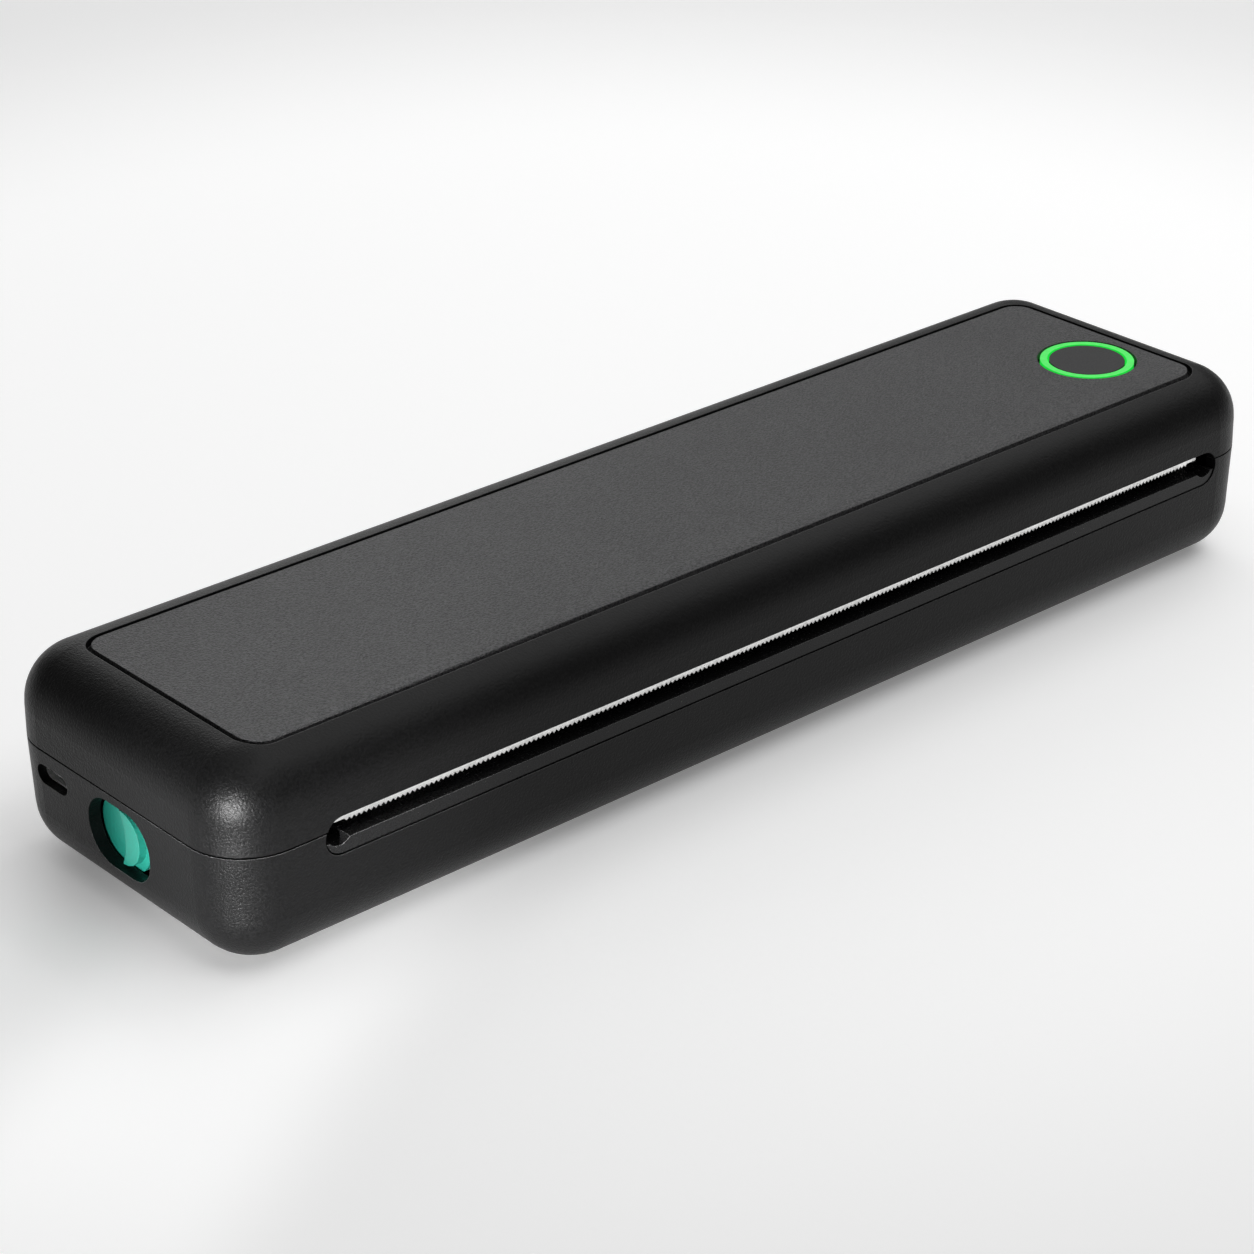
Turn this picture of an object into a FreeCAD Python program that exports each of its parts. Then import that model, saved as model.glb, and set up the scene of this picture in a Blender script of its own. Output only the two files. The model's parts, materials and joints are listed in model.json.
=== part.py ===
import FreeCAD, Part
import math
import os

import Sketcher

# A portable A4 thermal printer: a long moulded bar whose cover opens about a rear hinge.
# X runs along the bar, -Y is the front with the paper slot, and Z is up.
# The origin is the centre of the footprint, on the surface that the feet stand on.

os.makedirs("parts", exist_ok=True)
doc = FreeCAD.newDocument("PortablePrinter")
sheet = doc.addObject("Spreadsheet::Sheet", "Sizes")

LENGTHS = {
    # overall form
    "length": 256.0,
    "width": 68.5,
    "height": 40.2,
    "foot_stand": 0.6,
    "seam_gap": 0.35,
    "plan_corner": 11.6,
    "top_round": 10.6,
    "bottom_round": 10.4,
    "wall": 2.4,
    "top_wall": 3.2,
    "floor_wall": 2.4,
    "rim_height": 1.2,
    "rim_thickness": 0.9,
    "rim_root": 1.2,
    # inset top panel
    "panel_end_margin": 10.4,
    "panel_front_margin": 7.65,
    "panel_back_margin": 10.75,
    "panel_groove": 1.0,
    "panel_depth": 1.5,
    "panel_corner": 4.5,
    # power button and light ring
    "button_inset": 12.7,
    "button_setback": 18.75,
    "button_radius": 7.65,
    "button_sink": 0.1,
    "button_travel": 0.6,
    "button_skirt": 2.6,
    "button_wall": 1.6,
    "ring_outer": 9.5,
    "ring_inner": 8.05,
    "ring_gap": 0.6,
    "ring_flange": 1.0,
    "ring_flange_depth": 0.8,
    "button_flange": 1.0,
    "button_flange_depth": 0.6,
    # paper slot
    "slot_left_inset": 18.95,
    "slot_right_inset": 12.5,
    "slot_above_seam": 2.1,
    "slot_below_seam": 5.2,
    "lip_height": 2.8,
    "lip_gap": 0.25,
    "lip_sink": 0.35,
    "lip_depth": 6.2,
    "lip_lead": 0.8,
    "lip_bulb": 2.8,
    "shelf_height": 1.6,
    "shelf_depth": 4.4,
    # tear bar
    "tear_end_inset": 3.2,
    "tear_show": 3.0,
    "tear_hold": 3.7,
    "tear_thickness": 0.6,
    "tear_tooth_depth": 0.55,
    "tear_setback": 0.25,
    "tear_plain_end": 2.6,
    # rear hinge
    "knuckle_radius": 2.2,
    "knuckle_gap": 0.3,
    "knuckle_web": 2.0,
    "knuckle_web_height": 3.6,
    "hinge_pin_radius": 1.0,
    "base_knuckle": 7.0,
    "cover_knuckle": 12.0,
    "hinge_inset": 50.0,
    "running_gap": 0.05,
    "tight_gap": 0.02,
    # charging socket
    "usb_back_inset": 15.35,
    "usb_below_seam": 4.8,
    "usb_window_width": 9.2,
    "usb_window_height": 3.8,
    "usb_width": 8.94,
    "usb_height": 3.26,
    "usb_shell": 0.3,
    "usb_depth": 7.35,
    "usb_recess": 1.8,
    "usb_tongue": 0.7,
    # latch window and slide
    "window_pitch": 19.7,
    "window_below_seam": 8.25,
    "window_width": 18.1,
    "window_height": 13.1,
    "window_corner": 6.2,
    "latch_travel": 4.0,
    "release_offset": 2.6,
    "release_drop": 0.95,
    "release_radius": 7.2,
    "release_recess": 3.5,
    "release_depth": 1.0,
    "rib_height": 1.5,
    "rib_outer": 5.2,
    "rib_inner": 11.0,
    "rib_setback": 0.7,
    "rib_bulge": 4.1,
    "carrier_depth": 1.6,
    "carrier_back": 9.3,
    "carrier_front": 11.6,
    "carrier_reach": 9.0,
    "carrier_below_seam": 0.9,
    "slide_gap": 0.3,
    "rail_height": 1.6,
    "rail_lip": 1.2,
    "hook_width": 2.0,
    "hook_reach": 1.5,
    "hook_rise": 4.6,
    "hook_offset": 10.0,
    "spring_tab": 5.4,
    "spring_room": 10.0,
    "striker_drop": 3.6,
    "striker_frame": 0.7,
    # paper trough and inner frame
    "bay_end_inset": 5.1,
    "bay_front_inset": 28.75,
    "bay_back_inset": 12.75,
    "frame_wall": 1.5,
    "frame_below_seam": 0.5,
    "deck_front_inset": 23.65,
    "deck_back_inset": 4.95,
    "deck_drop": 1.4,
    "frame_boss_radius": 2.4,
    "frame_boss_inset": 7.65,
    "front_boss_radius": 1.8,
    # print head
    "head_end_inset": 6.6,
    "head_gap": 0.3,
    "head_front_inset": 8.25,
    "head_depth": 10.4,
    "plate_thickness": 2.0,
    "ceramic_thickness": 0.8,
    "ceramic_setback": 1.8,
    "pivot_setback": 2.7,
    "head_pivot_radius": 1.0,
    "head_eye_radius": 2.0,
    "head_eye_width": 4.0,
    "pivot_ear_width": 3.0,
    "head_spring_inset": 27.0,
    "head_spring_setback": 4.5,
    "head_spring_length": 8.4,
    "spring_seat_radius": 3.6,
    "spring_radius": 2.4,
    "spring_wire": 0.5,
    # platen
    "platen_setback": 5.5,
    "platen_above_seam": 2.7,
    "platen_radius": 5.5,
    "platen_end_inset": 5.6,
    "shaft_radius": 2.0,
    "bush_radius": 3.4,
    "bush_flange": 0.8,
    "bracket_radius": 5.0,
    "bracket_width": 2.2,
    "shaft_overrun": 1.2,
    # drive
    "gear_module": 0.5,
    "gear_face": 2.4,
    "wheel_face": 2.0,
    "gear_backlash": 0.12,
    "gear_end_inset": 1.8,
    "gear_step": 2.9,
    "stud_radius": 1.0,
    "motor_radius": 6.7,
    "motor_length": 13.0,
    "motor_flange": 0.6,
    "motor_drop": 16.6,
    "motor_shaft_radius": 0.75,
    "gear_plate_setback": 3.1,
    "gear_plate_thickness": 0.9,
    "gear_plate_front_inset": 7.45,
    "gear_plate_width": 15.8,
    "gear_plate_foot": 5.2,
    "gear_plate_clearance": 0.7,
    # boards, cells and screws
    "board_thickness": 1.2,
    "board_rise": 1.8,
    "board_end_room": 3.2,
    "board_front_inset": 6.25,
    "board_width": 15.6,
    "post_radius": 1.8,
    "cell_end_room": 7.0,
    "cell_side_room": 0.5,
    "cell_top_room": 0.5,
    "cell_thickness": 4.8,
    "cell_gap": 3.0,
    "cell_corner": 1.6,
    "screw_radius": 0.8,
    "screw_head_radius": 1.6,
    "screw_head_height": 0.9,
    "screw_length": 5.0,
    "usb_board_length": 16.2,
    "usb_board_side": 7.0,
    "liner_thickness": 1.1,
    "liner_left_inset": 10.5,
    "liner_right_inset": 10.5,
    "liner_front_inset": 11.85,
    "liner_back_inset": 12.75,
    "guide_rib": 1.2,
    "guide_rib_depth": 3.4,
    "guide_rib_run": 7.0,
    "switch_side": 4.5,
    "switch_height": 0.6,
    "plunger_radius": 1.2,
    "plunger_height": 0.25,
    # feet
    "foot_end_inset": 24.0,
    "foot_side_inset": 15.75,
    "foot_length": 16.0,
    "foot_width": 6.0,
    "foot_sink": 0.6,
    # cuts run past the faces that they open by this much
    "overrun": 2.0,
}
ANGLES = {
    "upper_draft_angle": 1.0,
    "lower_draft_angle": 2.0,
    "relief_angle": 41.0,
    "pressure_angle": 20.0,
}
COUNTS = {
    "tear_teeth": 208,
    "platen_gear_teeth": 24,
    "pinion_teeth": 14,
    "wheel_teeth": 24,
    "motor_teeth": 10,
    "head_spring_turns": 5,
    "latch_spring_turns": 6,
    "guide_ribs": 6,
}


class Size:
    """A length that keeps the sheet formula which it comes from."""

    def __init__(self, value, formula):
        self.value = value
        self.formula = formula

    def join(self, sign, other, value):
        return Size(value, f"({self.formula} {sign} {formula(other)})")

    def __add__(self, other):
        return self.join("+", other, self.value + number(other))

    def __radd__(self, other):
        return Size(other + self.value, f"({other} + {self.formula})")

    def __sub__(self, other):
        return self.join("-", other, self.value - number(other))

    def __rsub__(self, other):
        return Size(other - self.value, f"({other} - {self.formula})")

    def __mul__(self, other):
        return self.join("*", other, self.value * number(other))

    def __rmul__(self, other):
        return Size(other * self.value, f"({other} * {self.formula})")

    def __truediv__(self, other):
        return self.join("/", other, self.value / number(other))

    def __neg__(self):
        return Size(-self.value, f"(0 - {self.formula})")


def number(size):
    return size.value if isinstance(size, Size) else float(size)


def formula(size):
    return size.formula if isinstance(size, Size) else str(size)


def fill_sheet():
    """Write every driving value to the sheet and hand back its named sizes."""
    named = {}
    for row, (name, value) in enumerate({**LENGTHS, **ANGLES, **COUNTS}.items(), start=1):
        sheet.set(f"A{row}", name)
        sheet.set(f"B{row}", str(value))
        sheet.setAlias(f"B{row}", name)
        named[name] = Size(value, f"Sizes.{name}")
    doc.recompute()
    return named


class Sizes:
    def __init__(self, named):
        self.__dict__.update(named)


s = Sizes(fill_sheet())
V = FreeCAD.Vector
AXES = {"X": V(1, 0, 0), "Y": V(0, 1, 0), "Z": V(0, 0, 1)}
nodes = {}
made = {}


def fresh(name):
    """A new object name: the same stem gets a running number."""
    made[name] = made.get(name, 0) + 1
    return f"{name}_{made[name]}"


def bind(part, **sizes):
    for prop, size in sizes.items():
        setattr(part, prop, number(size))
        if isinstance(size, Size):
            part.setExpression(prop, size.formula)


def place(part, x, y, z, rotation=None):
    part.Placement = FreeCAD.Placement(
        V(number(x), number(y), number(z)), rotation or FreeCAD.Rotation()
    )
    for axis, size in zip("xyz", (x, y, z)):
        if isinstance(size, Size):
            part.setExpression(f"Placement.Base.{axis}", size.formula)


def block(xs, ys, zs):
    """A box between two places on each axis."""
    part = doc.addObject("Part::Box", fresh("Block"))
    bind(part, Length=xs[1] - xs[0], Width=ys[1] - ys[0], Height=zs[1] - zs[0])
    place(part, xs[0], ys[0], zs[0])
    return part


def rod(axis, centre, radius, ends):
    """A cylinder along an axis, from one end to the other, at a centre in the other two axes."""
    part = doc.addObject("Part::Cylinder", fresh("Rod"))
    bind(part, Radius=radius, Height=ends[1] - ends[0])
    spots = {"X": (ends[0], *centre), "Y": (centre[0], ends[0], centre[1]), "Z": (*centre, ends[0])}
    place(part, *spots[axis], FreeCAD.Rotation(AXES["Z"], AXES[axis]))
    return part


PLANES = {
    "XY": FreeCAD.Rotation(),
    "XZ": FreeCAD.Rotation(AXES["X"], 90),
    "YZ": FreeCAD.Rotation(AXES["X"] + AXES["Y"] + AXES["Z"], 120),
}


def free_sketch(plane, level):
    """A sketch on a plane that lies at a level along the axis square to it."""
    sketch = doc.addObject("Sketcher::SketchObject", fresh("Outline"))
    spot = {"XY": (0, 0, level), "XZ": (0, level, 0), "YZ": (level, 0, 0)}[plane]
    place(sketch, *spot, PLANES[plane])
    return sketch


def pin_down(sketch, kind, curve, end, size):
    """Hold one end of a curve at a distance from the sketch's origin."""
    index = sketch.addConstraint(
        Sketcher.Constraint(f"Distance{kind}", -1, 1, curve, end, number(size))
    )
    if isinstance(size, Size):
        sketch.setExpression(f"Constraints[{index}]", size.formula)


def draw_polygon(sketch, points):
    """Straight sides between corners whose places are sizes."""
    flat = [V(number(a), number(b), 0) for a, b in points]
    count = len(points)
    for i in range(count):
        sketch.addGeometry(Part.LineSegment(flat[i], flat[(i + 1) % count]))
    for i in range(count):
        sketch.addConstraint(Sketcher.Constraint("Coincident", i, 2, (i + 1) % count, 1))
    for i, (a, b) in enumerate(points):
        pin_down(sketch, "X", i, 1, a)
        pin_down(sketch, "Y", i, 1, b)


def draw_rounded(sketch, across, up, radius):
    """A rectangle with four equal round corners."""
    a0, a1 = number(across[0]), number(across[1])
    b0, b1 = number(up[0]), number(up[1])
    r = number(radius)
    sides = (
        (V(a0 + r, b0, 0), V(a1 - r, b0, 0)),
        (V(a1, b0 + r, 0), V(a1, b1 - r, 0)),
        (V(a1 - r, b1, 0), V(a0 + r, b1, 0)),
        (V(a0, b1 - r, 0), V(a0, b0 + r, 0)),
    )
    centres = (V(a1 - r, b0 + r, 0), V(a1 - r, b1 - r, 0), V(a0 + r, b1 - r, 0), V(a0 + r, b0 + r, 0))
    for start, end in sides:
        sketch.addGeometry(Part.LineSegment(start, end))
    for i, centre in enumerate(centres):
        circle = Part.Circle(centre, V(0, 0, 1), r)
        first = math.radians(-90 + 90 * i)
        sketch.addGeometry(Part.ArcOfCircle(circle, first, first + math.radians(90)))
    for i in range(4):
        sketch.addConstraint(Sketcher.Constraint("Tangent", i, 2, 4 + i, 1))
        sketch.addConstraint(Sketcher.Constraint("Tangent", 4 + i, 2, (i + 1) % 4, 1))
    for i in range(3):
        sketch.addConstraint(Sketcher.Constraint("Equal", 4, 5 + i))
    sketch.addConstraint(Sketcher.Constraint("Horizontal", 0))
    index = sketch.addConstraint(Sketcher.Constraint("Radius", 4, r))
    if isinstance(radius, Size):
        sketch.setExpression(f"Constraints[{index}]", radius.formula)
    pin_down(sketch, "Y", 0, 1, up[0])
    pin_down(sketch, "X", 1, 1, across[1])
    pin_down(sketch, "Y", 2, 1, up[1])
    pin_down(sketch, "X", 3, 1, across[0])


def draw_stadium(sketch, across, up):
    """Two straight sides joined by half circles."""
    radius = (up[1] - up[0]) / 2
    centres = (across[0] + radius, across[1] - radius)
    left, right = number(centres[0]), number(centres[1])
    low, high, r = number(up[0]), number(up[1]), number(radius)
    sketch.addGeometry(Part.LineSegment(V(left, low, 0), V(right, low, 0)))
    sketch.addGeometry(Part.LineSegment(V(right, high, 0), V(left, high, 0)))
    middle = (low + high) / 2
    for x, first in ((right, -90), (left, 90)):
        circle = Part.Circle(V(x, middle, 0), V(0, 0, 1), r)
        start = math.radians(first)
        sketch.addGeometry(Part.ArcOfCircle(circle, start, start + math.pi))
    for start, end in ((0, 2), (2, 1), (1, 3), (3, 0)):
        sketch.addConstraint(Sketcher.Constraint("Tangent", start, 2, end, 1))
    pin_down(sketch, "Y", 0, 1, up[0])
    pin_down(sketch, "Y", 1, 1, up[1])
    pin_down(sketch, "X", 2, 3, centres[1])
    pin_down(sketch, "X", 3, 3, centres[0])


def extrude(plane, sketch, depth):
    part = doc.addObject("Part::Extrusion", fresh("Bar"))
    part.Base = sketch
    part.DirMode = "Custom"
    part.Dir = AXES[{"XY": "Z", "XZ": "Y", "YZ": "X"}[plane]]
    part.Solid = True
    bind(part, LengthFwd=depth)
    return part


def prism(plane, points, ends):
    """A straight-sided outline drawn on a plane and run from one level to another."""
    sketch = free_sketch(plane, ends[0])
    draw_polygon(sketch, points)
    return extrude(plane, sketch, ends[1] - ends[0])


def rounded_bar(plane, across, up, radius, ends):
    """A round-cornered outline drawn on a plane and run from one level to another."""
    sketch = free_sketch(plane, ends[0])
    draw_rounded(sketch, across, up, radius)
    return extrude(plane, sketch, ends[1] - ends[0])


def stadium_bar(plane, across, up, ends):
    """A round-ended outline drawn on a plane and run from one level to another."""
    sketch = free_sketch(plane, ends[0])
    draw_stadium(sketch, across, up)
    return extrude(plane, sketch, ends[1] - ends[0])


def fuse(*pieces):
    part = doc.addObject("Part::MultiFuse", fresh("Joined"))
    part.Shapes = list(pieces)
    return part


def cut(base, *tools):
    part = doc.addObject("Part::Cut", fresh("Trimmed"))
    part.Base = base
    part.Tool = tools[0] if len(tools) == 1 else fuse(*tools)
    return part


def common(*pieces):
    part = doc.addObject("Part::MultiCommon", fresh("Shared"))
    part.Shapes = list(pieces)
    return part


def group(*pieces):
    part = doc.addObject("Part::Compound", fresh("Group"))
    part.Links = list(pieces)
    return part


def shaped(shape):
    """An object for a form that is worked out point by point."""
    part = doc.addObject("Part::Feature", fresh("Formed"))
    part.Shape = shape
    part.Placement = shape.Placement
    return part


def keep(name, part):
    """Name a finished piece."""
    part.Label = name
    nodes[name] = part
    return part


def shell_form(half_length, half_width, corner, level, rise, draft, edge_round):
    """A drafted pad on a round-cornered outline, with its far edge rounded: one half of the bar."""
    body = doc.addObject("PartDesign::Body", fresh("Form"))
    sketch = body.newObject("Sketcher::SketchObject", fresh("Plan"))
    floor = next(f for f in body.Origin.OriginFeatures if f.Role == "XY_Plane")
    sketch.AttachmentSupport = [(floor, "")]
    sketch.MapMode = "FlatFace"
    sketch.AttachmentOffset = FreeCAD.Placement(V(0, 0, number(level)), FreeCAD.Rotation())
    sketch.setExpression("AttachmentOffset.Base.z", level.formula)
    draw_rounded(sketch, (-half_length, half_length), (-half_width, half_width), corner)
    pad = body.newObject("PartDesign::Pad", fresh("Half"))
    pad.Profile = sketch
    pad.Reversed = number(rise) < 0
    bind(pad, Length=-rise if pad.Reversed else rise, TaperAngle=-draft)
    doc.recompute()
    far = number(level) + number(rise)
    edges = [
        f"Edge{i}"
        for i, edge in enumerate(pad.Shape.Edges, start=1)
        if all(abs(v.Z - far) < 1e-6 for v in edge.Vertexes)
    ]
    rounding = body.newObject("PartDesign::Fillet", fresh("EdgeRound"))
    rounding.Base = (pad, edges)
    bind(rounding, Radius=edge_round)
    body.Tip = rounding
    return body


# Shares of the size that each follows.
SEAM_SHARE = 0.592
REAR_BOSS_SHARES = (-0.37, -0.16, 0.18, 0.395)
FRONT_BOSS_SHARES = (-0.3, 0.28)
TEAR_SCREW_SHARES = (0.06, 0.35, 0.65, 0.94)
# each chip: its place along the board, its width across it and its height in board thicknesses
CHIP_SHARES = ((0.25, 0.6, 1.0), (0.5, 0.45, 1.0), (0.78, 0.7, 2.5))
USB_CORNER_SHARE = 0.46
TONGUE_SHARE = 0.75
MOTOR_EAR_SHARE = 0.8
DEDENDUM_SHARE = 1.2
BAY_CORNER_SHARE = 0.4


def work_out_places():
    """Places and sizes that follow from the driving sizes, kept beside them."""
    s.half_length = s.length / 2
    s.half_width = s.width / 2
    s.seam_level = s.height * SEAM_SHARE
    s.base_top = s.seam_level - s.seam_gap / 2
    s.cover_bottom = s.seam_level + s.seam_gap / 2
    s.shell_floor = s.foot_stand + s.floor_wall
    s.ceiling = s.height - s.top_wall
    s.front_inside = s.wall - s.half_width
    s.end_inside = s.wall - s.half_length
    s.hinge_y = s.half_width - s.knuckle_radius
    s.hinge_offset = s.half_length - s.hinge_inset
    # panel and button
    s.panel_left = s.panel_end_margin - s.half_length
    s.panel_right = s.half_length - s.panel_end_margin
    s.panel_front = s.panel_front_margin - s.half_width
    s.panel_back = s.half_width - s.panel_back_margin
    s.button_x = s.panel_right - s.button_inset
    s.button_y = s.panel_front + s.button_setback
    flange_bottom = s.ceiling - s.ring_flange_depth - s.button_sink - s.button_flange_depth
    s.plunger_top = flange_bottom - s.button_travel - s.running_gap
    s.button_board_top = s.plunger_top - s.plunger_height - s.switch_height
    s.button_board_reach = s.ring_outer + s.ring_flange + s.post_radius * 2 + s.knuckle_gap
    # slot, lip and tear bar
    s.slot_left = s.slot_left_inset - s.half_length
    s.slot_right = s.half_length - s.slot_right_inset
    s.slot_middle = (s.slot_left + s.slot_right) / 2
    s.slot_top = s.seam_level + s.slot_above_seam
    s.slot_bottom = s.seam_level - s.slot_below_seam
    s.lip_bottom = s.slot_bottom + s.lip_gap
    s.lip_top = s.slot_bottom + s.lip_height
    s.tear_left = s.slot_left + s.tear_end_inset
    s.tear_right = s.slot_right - s.tear_end_inset
    s.tear_bottom = s.slot_top - s.tear_show
    s.tear_top = s.slot_top + s.tear_hold
    # print head and platen
    s.head_left = s.slot_left + s.head_end_inset
    s.head_right = s.slot_right - s.head_end_inset
    s.head_front = s.head_front_inset - s.half_width
    s.head_back = s.head_front + s.head_depth
    s.ceramic_back = s.head_back - s.ceramic_setback
    s.head_pivot_y = s.head_back + s.pivot_setback
    s.platen_y = s.head_front + s.platen_setback
    s.platen_z = s.seam_level + s.platen_above_seam
    s.platen_centre = (s.platen_y, s.platen_z)
    s.platen_left = s.slot_left + s.platen_end_inset
    s.platen_right = s.slot_right - s.platen_end_inset
    s.head_top = s.platen_z - s.platen_radius - s.head_gap
    s.plate_top = s.head_top - s.ceramic_thickness
    s.plate_bottom = s.plate_top - s.plate_thickness
    s.pivot_z = s.plate_bottom + s.plate_thickness / 2
    s.head_spring_y = s.head_front + s.head_spring_setback
    s.spring_places = (s.head_left + s.head_spring_inset, s.head_right - s.head_spring_inset)
    s.spring_seat_top = s.plate_bottom - s.head_spring_length
    # paper trough and frame
    s.bay_left = s.slot_left + s.bay_end_inset
    s.bay_right = s.slot_right - s.bay_end_inset
    s.bay_front = s.bay_front_inset - s.half_width
    s.bay_back = s.half_width - s.bay_back_inset
    s.bay_bottom = s.shell_floor + s.cell_thickness + s.cell_top_room + s.frame_wall
    s.frame_top = s.seam_level - s.frame_below_seam
    s.deck_bottom = s.frame_top - s.deck_drop - s.frame_wall
    s.deck_front = s.deck_front_inset - s.half_width
    s.deck_back = s.half_width - s.deck_back_inset
    s.frame_boss_y = s.half_width - s.frame_boss_inset
    s.front_boss_y = s.deck_front + s.front_boss_radius
    # drive
    s.gear_first = s.slot_right - s.gear_end_inset
    s.gear_plate_x = s.gear_first - s.gear_plate_setback
    s.gear_plate_front = s.gear_plate_front_inset - s.half_width
    s.gear_plate_back = s.gear_plate_front + s.gear_plate_width
    s.gear_plate_toe = s.bottom_round - s.wall - s.floor_wall
    s.gear_plate_top = s.platen_z - s.bracket_radius - s.gear_plate_clearance
    s.motor_z = s.platen_z - s.motor_drop
    # boards, socket and liner
    s.board_left = s.spring_places[0] + s.spring_seat_radius + s.board_end_room
    s.board_right = s.spring_places[1] - s.spring_seat_radius - s.board_end_room
    s.board_front = s.board_front_inset - s.half_width
    s.board_back = s.board_front + s.board_width
    s.board_top = s.shell_floor + s.board_rise + s.board_thickness
    s.usb_y = s.half_width - s.usb_back_inset
    s.usb_z = s.seam_level - s.usb_below_seam
    s.usb_board_top = s.usb_z - s.usb_height / 2
    s.usb_board_left = s.end_inside + s.usb_recess
    s.usb_board_right = s.usb_board_left + s.usb_board_length
    s.liner_left = s.liner_left_inset - s.half_length
    s.liner_right = s.half_length - s.liner_right_inset
    s.liner_front = s.liner_front_inset - s.half_width
    s.liner_back = s.half_width - s.liner_back_inset
    # latch
    s.window_y = s.usb_y - s.window_pitch
    s.window_z = s.seam_level - s.window_below_seam
    s.release_y = s.window_y + s.release_offset
    s.release_z = s.window_z - s.release_drop
    s.release_face = s.release_recess - s.half_length
    s.carrier_face = s.release_face + s.release_depth
    s.carrier_inside = s.carrier_face + s.carrier_depth
    s.carrier_bottom = s.window_z - s.carrier_reach
    s.carrier_top = s.seam_level - s.carrier_below_seam
    s.hook_y = s.release_y - s.hook_offset
    s.hook_top = s.carrier_top + s.hook_rise
    s.latch_spring_start = s.release_y - s.carrier_front
    s.latch_spring_end = s.latch_spring_start - s.spring_room
    s.striker_face = s.hook_y + s.hook_width + s.hook_reach + s.knuckle_gap
    s.striker_top = s.ceiling - s.striker_drop
    # feet
    s.foot_x = s.half_length - s.foot_end_inset
    s.foot_y = s.half_width - s.foot_side_inset


work_out_places()


def hinge_spans(side):
    """The two base knuckles and the cover knuckle of the hinge on one side, as ends along X."""
    middle = side * s.hinge_offset
    inner = s.cover_knuckle / 2
    outer = inner + s.knuckle_gap
    left = (middle - outer - s.base_knuckle, middle - outer)
    right = (middle + outer, middle + outer + s.base_knuckle)
    return (left, right), (middle - inner, middle + inner)


def knuckle(ends, web_z):
    """A hinge barrel with a web that ties it to the wall of its shell."""
    barrel = rod("X", (s.hinge_y, s.seam_level), s.knuckle_radius, ends)
    web = block(ends, (s.hinge_y - s.knuckle_web, s.half_width - s.wall / 2), web_z)
    return [barrel, web]


def hinge_bore(radius):
    """The pin holes of both hinges."""
    bores = []
    for side in (-1, 1):
        base, _ = hinge_spans(side)
        ends = (base[0][0] - s.overrun, base[1][1] + s.overrun)
        bores.append(rod("X", (s.hinge_y, s.seam_level), radius, ends))
    return bores


def hinge_relief(way):
    """The V beyond the hinge line that lets the rear walls close up as the cover swings back."""
    slope = math.tan(math.radians(number(s.relief_angle)))
    run = s.knuckle_radius + s.overrun
    far = s.hinge_y + run
    drop = s.seam_gap * -way
    points = [
        (s.hinge_y, s.seam_level),
        (far, s.seam_level + run * (way * slope)),
        (far, s.seam_level + drop),
        (s.hinge_y, s.seam_level + drop),
    ]
    return prism("YZ", points, (-s.half_length - s.overrun, s.half_length + s.overrun))


def slot_hole(shrink, ends):
    """The long round-ended slot in the front wall, or a bar that fits it."""
    across = (s.slot_left + shrink, s.slot_right - shrink)
    return stadium_bar("XZ", across, (s.slot_bottom + shrink, s.slot_top - shrink), ends)


def screw(axis, spot, seat, way):
    """A pan-head screw with its head on a seat; its shank runs the given way along an axis."""
    head = (seat, seat - s.screw_head_height * way)
    shank = (seat, seat + s.screw_length * way)
    return fuse(
        rod(axis, spot, s.screw_head_radius, sorted(head, key=number)),
        rod(axis, spot, s.screw_radius, sorted(shank, key=number)),
    )


def pilot(axis, spot, seat, way):
    """The hole for such a screw's shank."""
    ends = (seat - s.screw_head_height * way, seat + (s.screw_length + s.tight_gap) * way)
    return rod(axis, spot, s.screw_radius + s.tight_gap, sorted(ends, key=number))


def panel_outline(grow, ends):
    return rounded_bar(
        "XY",
        (s.panel_left - grow, s.panel_right + grow),
        (s.panel_front - grow, s.panel_back + grow),
        s.panel_corner + grow,
        ends,
    )


def side_hole(y, z, width, height, corner, ends):
    """A round-cornered opening in the left end wall."""
    across = (y - width / 2, y + width / 2)
    return rounded_bar("YZ", across, (z - height / 2, z + height / 2), corner, ends)


def frame_screw_spots():
    rear = [(s.length * share, s.frame_boss_y, s.frame_boss_radius) for share in REAR_BOSS_SHARES]
    front = [(s.length * share, s.front_boss_y, s.front_boss_radius) for share in FRONT_BOSS_SHARES]
    return rear + front


def board_post_spots():
    inset = s.post_radius + s.board_thickness
    return [
        (x, y)
        for x in (s.board_left + inset, s.board_right - inset)
        for y in (s.board_front + inset, s.board_back - inset)
    ]


def usb_post_spots():
    x = s.usb_board_right - s.post_radius * 2
    reach = s.usb_board_side - s.post_radius - s.board_thickness
    return [(x, s.usb_y - reach), (x, s.usb_y + reach)]


def foot_bars(grow, ends):
    bars = []
    for x in (-s.foot_x, s.foot_x):
        for y in (-s.foot_y, s.foot_y):
            across = (x - s.foot_length / 2 - grow, x + s.foot_length / 2 + grow)
            up = (y - s.foot_width / 2 - grow, y + s.foot_width / 2 + grow)
            bars.append(stadium_bar("XY", across, up, ends))
    return bars


def lower_form(inset, floor):
    """The drafted form of the base, or its cavity, drawn in by a wall."""
    return shell_form(
        s.half_length - inset,
        s.half_width - inset,
        s.plan_corner - inset,
        s.base_top,
        s.foot_stand - s.base_top + floor,
        s.lower_draft_angle,
        s.bottom_round - inset,
    )


def upper_form(inset, roof):
    """The drafted form of the cover, or its cavity, drawn in by a wall."""
    return shell_form(
        s.half_length - inset,
        s.half_width - inset,
        s.plan_corner - inset,
        s.cover_bottom,
        s.height - s.cover_bottom - roof,
        s.upper_draft_angle,
        s.top_round - inset,
    )


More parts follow.
